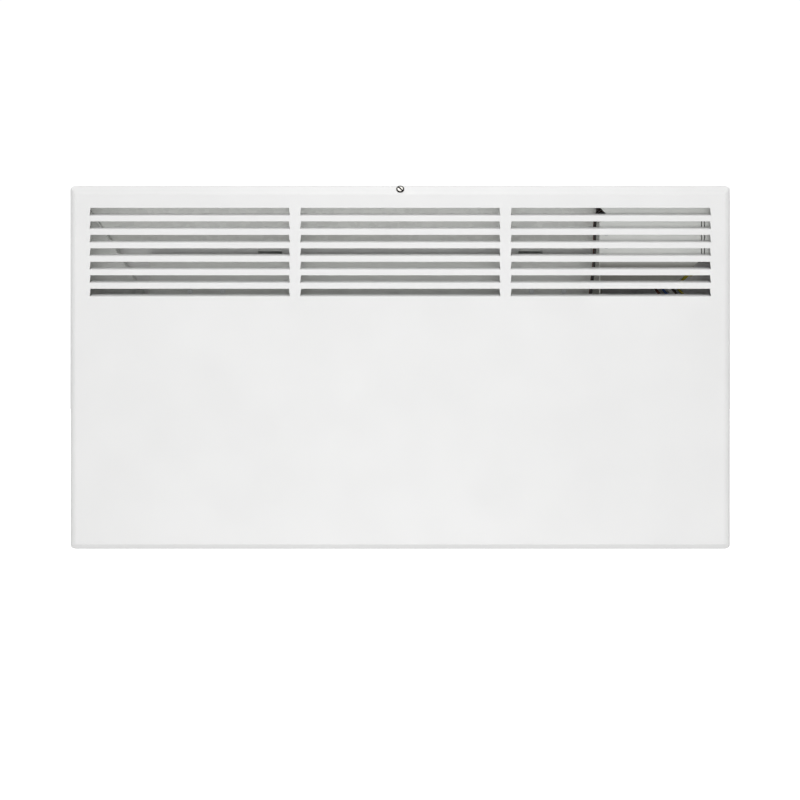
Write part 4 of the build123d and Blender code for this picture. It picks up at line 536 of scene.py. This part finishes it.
def smooth_group(angle):
    """Geometry nodes that shade smoothly, with crisp edges where faces meet at more than the angle."""
    group = bpy.data.node_groups.new("smooth by angle", "GeometryNodeTree")
    group.interface.new_socket("Geometry", in_out="INPUT", socket_type="NodeSocketGeometry")
    group.interface.new_socket("Geometry", in_out="OUTPUT", socket_type="NodeSocketGeometry")
    start = group.nodes.new("NodeGroupInput")
    end = group.nodes.new("NodeGroupOutput")
    turn = group.nodes.new("GeometryNodeInputMeshEdgeAngle")
    sharp = group.nodes.new("FunctionNodeCompare")
    sharp.operation = "GREATER_THAN"
    sharp.inputs[1].default_value = angle
    crisp = group.nodes.new("GeometryNodeSetShadeSmooth")
    crisp.domain = "EDGE"
    crisp.inputs["Shade Smooth"].default_value = False
    smooth = group.nodes.new("GeometryNodeSetShadeSmooth")
    smooth.domain = "FACE"
    group.links.new(turn.outputs["Unsigned Angle"], sharp.inputs[0])
    group.links.new(start.outputs[0], smooth.inputs["Geometry"])
    group.links.new(smooth.outputs[0], crisp.inputs["Geometry"])
    group.links.new(sharp.outputs["Result"], crisp.inputs["Selection"])
    group.links.new(crisp.outputs[0], end.inputs[0])
    return group


def soften(piece, group):
    """Joins the triangles of a node and shades it smoothly between its sharp edges, by modifiers alone."""
    weld = piece.modifiers.new("joined seams", "WELD")
    weld.merge_threshold = WELD
    smooth = piece.modifiers.new("smooth by angle", "NODES")
    smooth.node_group = group
    weighted = piece.modifiers.new("flat faces stay flat", "WEIGHTED_NORMAL")
    weighted.keep_sharp = True


class HEATER_OT_smooth_shading(Operator):
    """Shade the CAD pieces smoothly between their sharp edges"""
    bl_idname = "heater.smooth_shading"
    bl_label = "Smooth shading"

    def execute(self, context):
        group = smooth_group(sizes().smooth_angle)
        for piece in NODES.values():
            soften(piece, group)
        return {"FINISHED"}


class HEATER_OT_finishes(Operator):
    """Give each CAD piece the finish of its slot, or its own"""
    bl_idname = "heater.finishes"
    bl_label = "Finishes"

    def execute(self, context):
        own = own_finishes()
        made = {}
        for name, piece in NODES.items():
            slot = SLOT_OF[name]
            if name not in own and slot not in made:
                made[slot] = finish_for(slot)
            piece.data.materials.clear()
            piece.data.materials.append(own.get(name) or made[slot])
        return {"FINISHED"}


# ---------------------------------------------------------------- fine pieces

def turned(profile, segments):
    """A solid turned from a profile of (radius, height) whose two ends lie on the axis."""
    shape = bmesh.new()
    points = [shape.verts.new((radius, 0, height)) for radius, height in profile]
    edges = [shape.edges.new(pair) for pair in zip(points, points[1:])]
    bmesh.ops.spin(shape, geom=points + edges, cent=(0, 0, 0), axis=(0, 0, 1), angle=2 * math.pi,
                   steps=segments, use_merge=True)
    bmesh.ops.remove_doubles(shape, verts=shape.verts, dist=MERGE)
    bmesh.ops.recalc_face_normals(shape, faces=shape.faces)
    return shape


def as_mesh(name, shape):
    """The shape's mesh; the shape itself is used up."""
    mesh = bpy.data.meshes.new(name)
    shape.to_mesh(mesh)
    shape.free()
    return mesh


def in_scene(name, data):
    """A new object that stands in the scene."""
    made = bpy.data.objects.new(name, data)
    bpy.context.scene.collection.objects.link(made)
    return made


def worked_out(maker):
    """The mesh that an object shows, with its text or its modifiers worked out; the object is used up."""
    bpy.context.view_layer.update()
    mesh = bpy.data.meshes.new_from_object(maker.evaluated_get(bpy.context.evaluated_depsgraph_get()))
    bpy.data.objects.remove(maker)
    return mesh


def cut_from(mesh, tool):
    """The first mesh without the second."""
    cutter = in_scene("cutter", tool)
    kept = in_scene("kept", mesh)
    cut = kept.modifiers.new("cut", "BOOLEAN")
    cut.operation = "DIFFERENCE"
    cut.solver = "EXACT"
    cut.object = cutter
    result = worked_out(kept)
    bpy.data.objects.remove(cutter)
    return result


def lettering(text, height, thickness):
    """Upright text as a solid shape, its middle at the origin and its face towards +Z."""
    data = bpy.data.curves.new("lettering", "FONT")
    data.body = text
    data.size = height
    data.extrude = thickness / 2
    data.align_x = "CENTER"
    data.align_y = "CENTER"
    data.resolution_u = 4
    mesh = worked_out(in_scene("lettering", data))
    shape = bmesh.new()
    shape.from_mesh(mesh)
    bpy.data.meshes.remove(mesh)
    low, high = (Vector(pick(vert.co[axis] for vert in shape.verts) for axis in range(3))
                 for pick in (min, max))
    bmesh.ops.translate(shape, verts=shape.verts, vec=-(low + high) / 2)
    bmesh.ops.remove_doubles(shape, verts=shape.verts, dist=MERGE)
    bmesh.ops.recalc_face_normals(shape, faces=shape.faces)
    return shape


def facing(right, out, place):
    """The matrix that lays a flat piece at this place, its X axis to the right and its Z axis outward."""
    turn = Matrix((right, out.cross(right), out)).transposed()
    return Matrix.Translation(place) @ turn.to_4x4()


def add_placed(shape, added, matrix):
    """Moves one shape to its place and adds it to another."""
    added.transform(matrix)
    part = as_mesh("added", added)
    shape.from_mesh(part)
    bpy.data.meshes.remove(part)


def add_block(shape, size, matrix):
    """Adds a block of this size, moved to its place."""
    made = bmesh.ops.create_cube(shape, size=1)
    bmesh.ops.scale(shape, verts=made["verts"], vec=size)
    bmesh.ops.transform(shape, verts=made["verts"], matrix=matrix)


def finished_piece(name, mesh, materials, body):
    """A piece in its place that rides on a body, with the given finishes."""
    mesh.name = name
    mesh.materials.clear()
    for material in materials:
        mesh.materials.append(material)
    piece = in_scene(name, mesh)
    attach(piece, body)
    return piece


def printed(name, shape, body):
    """A printed piece that rides on a body, in the one grey of all marks."""
    ink = bpy.data.materials.get("grey print")
    if ink is None:
        ink = moulded("grey print", colours().print_grey, roughness=0.6, texture=0.3 * MM)
    finished_piece(name, as_mesh(name, shape), (ink,), body)


def surface_at(piece, start):
    """A piece's surface straight to the left of a point: its place, and the way it faces."""
    world = piece.matrix_world
    inward = world.inverted()
    found, spot, normal, _ = piece.ray_cast(inward @ start, inward.to_3x3() @ Vector((-1, 0, 0)))
    if not found:
        raise RuntimeError("no surface for a mark on " + piece.name)
    return world @ spot, (world.to_3x3() @ normal).normalized()


def screw_profile(size):
    """The screw from the top of its head to its tip, as (radius, height) above the seat."""
    top, rim, head = size.head_height, size.rim_radius, size.head_radius
    quarter = [math.radians(90 * step / CROWN_STEPS) for step in range(CROWN_STEPS + 1)]
    crown = [(rim * math.sin(turn), top - size.crown_fall * (1 - math.cos(turn))) for turn in quarter]
    ledge = top - size.rim_drop
    edge = ledge - LEDGE_FALL
    rims = [(rim + CROWN_TAPER, ledge), (head - HEAD_CHAMFER, edge), (head, edge - HEAD_CHAMFER), (head, 0)]
    shank = [(size.shank_radius, -size.shank_length * ring / SHANK_RINGS) for ring in range(SHANK_RINGS + 1)]
    end = -size.shank_length - TIP_LENGTH
    return crown + rims + shank + [(size.shank_radius - size.thread_depth, end), (0, end)]


def cut_thread(shape, size):
    """Draws the shank's rings in to the grooves of the thread."""
    core = size.shank_radius - size.thread_depth
    root = core + THREAD_ROOT
    for vert in shape.verts:
        if vert.co.z < -THREAD_START and vert.co.xy.length > core:
            turn = math.atan2(vert.co.y, vert.co.x) / (2 * math.pi)
            phase = (vert.co.z / size.thread_pitch - turn) % 1
            tooth = 1 - abs(2 * phase - 1)
            vert.co.xy *= (root + (size.shank_radius - root) * tooth) / vert.co.xy.length


def dark_faces(mesh, size):
    """For each face of the screw, 1 where it lies in the slot or on the rim, which take painted shade, and 0
    elsewhere.
    """
    across = Matrix.Rotation(size.slot_turn, 3, "Z") @ Vector((0, 1, 0))
    wall = size.slot_width / 2 + NEAR
    marks = []
    for face in mesh.polygons:
        centre = face.center
        in_slot = abs(centre.dot(across)) < wall and centre.z < size.head_height - SLOT_LIP
        on_rim = centre.xy.length > size.rim_radius
        marks.append(1 if centre.z > NEAR and (in_slot or on_rim) else 0)
    return marks


def strip_seat(size):
    """The matrix that lays the screw on the cover's sloped strip, in its middle."""
    low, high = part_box("front_cover")
    upper_edge = Vector(((low.x + high.x) / 2, low.y + size.strip_run, high.z))
    down = Vector((0, -size.strip_run, -size.strip_rise)) / size.strip_rise
    out = Vector((0, -size.strip_rise, size.strip_run)).normalized()
    return facing(Vector((1, 0, 0)), out, upper_edge + down * size.screw_drop)


class HEATER_OT_cover_screw(Operator):
    """Make the slotted cover screw with its thread, and painted shade on its rim and in its slot"""
    bl_idname = "heater.cover_screw"
    bl_label = "Cover screw"

    def execute(self, context):
        size = sizes()
        shape = turned(screw_profile(size), SCREW_SEGMENTS)
        cut_thread(shape, size)
        cutter = bmesh.new()
        add_block(cutter, (4 * size.head_radius, size.slot_width, 2 * size.slot_depth),
                  Matrix.Translation((0, 0, size.head_height)) @ Matrix.Rotation(size.slot_turn, 4, "Z"))
        mesh = cut_from(as_mesh("screw_blank", shape), as_mesh("screw_slot", cutter))
        marks = dark_faces(mesh, size)
        mesh.transform(strip_seat(size))
        nickel = plated("nickel head", colours().nickel, roughness=0.24)
        # near-black plated metal on the rim and in the slot is painted shade
        dark = plated("rim in painted shade", colours().dark_rim, roughness=0.5)
        screw = finished_piece("cover_screw_slotted", mesh, (nickel, dark), "heater")
        mesh.polygons.foreach_set("material_index", marks)
        mesh.shade_smooth()
        mesh.set_sharp_from_angle(angle=size.smooth_angle)
        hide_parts("cover_screw")
        return {"FINISHED"}


class HEATER_OT_dial_marks(Operator):
    """Print the scale round the knob and the line on its pointer"""
    bl_idname = "heater.dial_marks"
    bl_label = "Dial marks"

    def execute(self, context):
        size = sizes()
        thickness = 2 * size.print_thickness
        low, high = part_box("thermostat_knob")
        middle = (low + high) / 2
        side, rear = Vector((1, 0, 0)), Vector((0, 1, 0))
        dial = Vector((low.x - size.knob_gap, middle.y, middle.z))
        start, end = size.dial_tick_from, size.dial_tick_to
        scale = bmesh.new()
        for number in range(size.dial_last + 1):
            turn = size.dial_turn * number / size.dial_last
            towards = Vector((0, -math.sin(turn), math.cos(turn)))
            add_block(scale, (size.tick_width, end - start, thickness),
                      facing(towards.cross(side), side, dial + towards * (start + end) / 2))
            add_placed(scale, lettering(str(number), size.number_height, thickness),
                       facing(rear, side, dial + towards * size.dial_number_at))
        printed("dial_scale", scale, "heater")
        line = bmesh.new()
        add_block(line, (size.line_width, size.line_length, thickness),
                  facing(rear, side, Vector((high.x, middle.y, middle.z + size.line_at))))
        printed("pointer_line", line, "thermostat_dial")
        return {"FINISHED"}


class HEATER_OT_rocker_marks(Operator):
    """Print the on and off marks on both rockers"""
    bl_idname = "heater.rocker_marks"
    bl_label = "Rocker marks"

    def execute(self, context):
        size = sizes()
        thickness = 2 * size.print_thickness
        rear = Vector((0, 1, 0))
        for node, body in (("rocker_front", "front_rocker"), ("rocker_rear", "rear_rocker")):
            low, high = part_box(node)
            middle = (low + high) / 2
            marks = bmesh.new()
            for text, away in (("I", size.rocker_mark_at), ("O", -size.rocker_mark_at)):
                start = Vector((high.x + RAY_START, middle.y, middle.z + away))
                place, out = surface_at(NODES[node], start)
                right = (rear - out * rear.dot(out)).normalized()
                add_placed(marks, lettering(text, size.rocker_mark_height, thickness),
                           facing(right, out, place))
            printed(node + "_marks", marks, body)
        return {"FINISHED"}


# ---------------------------------------------------------------- studio

def white_light(studio):
    """A white world: plain white to the camera, and a little brighter behind the object than in front."""
    world = bpy.data.worlds.new("studio light")
    bpy.context.scene.world = world
    world.use_nodes = True
    tree = world.node_tree
    tree.nodes.clear()
    out = tree.nodes.new("ShaderNodeOutputWorld")
    seen = tree.nodes.new("ShaderNodeBackground")
    seen.inputs["Color"].default_value = WHITE
    seen.inputs["Strength"].default_value = studio.backdrop
    light = tree.nodes.new("ShaderNodeBackground")
    light.inputs["Color"].default_value = WHITE
    place = tree.nodes.new("ShaderNodeTexCoord")
    ranged = tree.nodes.new("ShaderNodeMapRange")
    ranged.interpolation_type = "SMOOTHSTEP"
    ranged.inputs["To Min"].default_value = studio.fill
    ranged.inputs["To Max"].default_value = studio.fill + studio.behind
    tree.links.new(along(tree, place.outputs["Generated"], (0, 1, 0)), ranged.inputs["Value"])
    tree.links.new(ranged.outputs["Result"], light.inputs["Strength"])
    path = tree.nodes.new("ShaderNodeLightPath")
    choose = tree.nodes.new("ShaderNodeMixShader")
    tree.links.new(path.outputs["Is Camera Ray"], choose.inputs[0])
    tree.links.new(light.outputs[0], choose.inputs[1])
    tree.links.new(seen.outputs[0], choose.inputs[2])
    tree.links.new(choose.outputs[0], out.inputs["Surface"])


def studio_floor(studio):
    """A wide pale floor below the heater, which glows evenly to the camera."""
    shape = bmesh.new()
    bmesh.ops.create_grid(shape, x_segments=1, y_segments=1, size=studio.floor_half)
    bmesh.ops.translate(shape, verts=shape.verts, vec=(0, 0, CAD_BOX[0].z - studio.floor_drop))
    mesh = as_mesh("studio_floor", shape)
    floor = in_scene("studio_floor", mesh)
    material, tree, shader = start_finish("pale floor", (0.8, 0.8, 0.8), roughness=0.9)
    shader.inputs["Emission Color"].default_value = WHITE
    path = tree.nodes.new("ShaderNodeLightPath")
    glow = tree.nodes.new("ShaderNodeMapRange")
    glow.inputs["To Min"].default_value = 0.0
    glow.inputs["To Max"].default_value = studio.floor_glow
    tree.links.new(path.outputs["Is Camera Ray"], glow.inputs["Value"])
    tree.links.new(glow.outputs["Result"], shader.inputs["Emission Strength"])
    mesh.materials.append(material)


def soft_box(name, place, aim, side, power):
    """A square soft light at its place, turned to its aim, which the camera doesn't see."""
    data = bpy.data.lights.new(name, "AREA")
    data.shape = "SQUARE"
    data.size = side
    data.energy = power
    light = in_scene(name, data)
    light.location = place
    light.rotation_euler = (aim - light.location).to_track_quat("-Z", "Y").to_euler()
    light.visible_camera = False


def photo_camera(studio, aim):
    """The camera in the photograph's place, straight in front of the cover's centre."""
    data = bpy.data.cameras.new("camera")
    data.sensor_width = 36
    picture_width = studio.photo_side * studio.photo_scale
    data.lens = data.sensor_width * studio.camera_distance / picture_width
    data.shift_x = (studio.photo_side / 2 - studio.centre_px[0]) / studio.photo_side
    data.shift_y = (studio.centre_px[1] - studio.photo_side / 2) / studio.photo_side
    camera = in_scene("camera", data)
    camera.location = (aim.x, aim.y - studio.camera_distance, aim.z)
    camera.rotation_euler = (math.radians(90), 0, 0)
    bpy.context.scene.camera = camera


class HEATER_OT_studio(Operator):
    """Set the floor, the lights and the camera"""
    bl_idname = "heater.studio"
    bl_label = "Studio"

    def execute(self, context):
        scene = context.scene
        studio = scene.heater_studio
        scene.view_settings.view_transform = "Standard"
        white_light(studio)
        studio_floor(studio)
        low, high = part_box("front_cover")
        centre = (low + high) / 2
        aim = Vector((centre.x, low.y, centre.z))
        for name, place, power in (("key light", studio.key_place, studio.key_power),
                                   ("low light", studio.low_place, studio.low_power),
                                   ("high light", studio.high_place, studio.high_power)):
            soft_box(name, place, aim, studio.box_side, power)
        photo_camera(studio, aim)
        return {"FINISHED"}


# ---------------------------------------------------------------- panel and main

STEPS = (HEATER_OT_smooth_shading, HEATER_OT_finishes, HEATER_OT_cover_screw, HEATER_OT_dial_marks,
         HEATER_OT_rocker_marks, HEATER_OT_studio)


class HEATER_PT_panel(Panel):
    """The heater's sizes, colours and steps"""
    bl_idname = "HEATER_PT_panel"
    bl_label = "Wall heater"
    bl_space_type = "VIEW_3D"
    bl_region_type = "UI"
    bl_category = "Heater"

    def draw(self, context):
        for step in STEPS:
            self.layout.operator(step.bl_idname)
        for name in GROUPS:
            group = getattr(context.scene, name)
            box = self.layout.box()
            for key in group.bl_rna.properties.keys():
                if key not in ("rna_type", "name"):
                    box.prop(group, key)


def register():
    for group in GROUPS.values():
        bpy.utils.register_class(group)
    for step in STEPS:
        bpy.utils.register_class(step)
    bpy.utils.register_class(HEATER_PT_panel)
    for name, group in GROUPS.items():
        setattr(bpy.types.Scene, name, PointerProperty(type=group))


def unregister():
    for name in GROUPS:
        delattr(bpy.types.Scene, name)
    for made in (HEATER_PT_panel, *reversed(STEPS), *GROUPS.values()):
        bpy.utils.unregister_class(made)


def main():
    register()
    for step in STEPS:
        area, name = step.bl_idname.split(".")
        getattr(getattr(bpy.ops, area), name)()


if __name__ == "__main__":
    main()
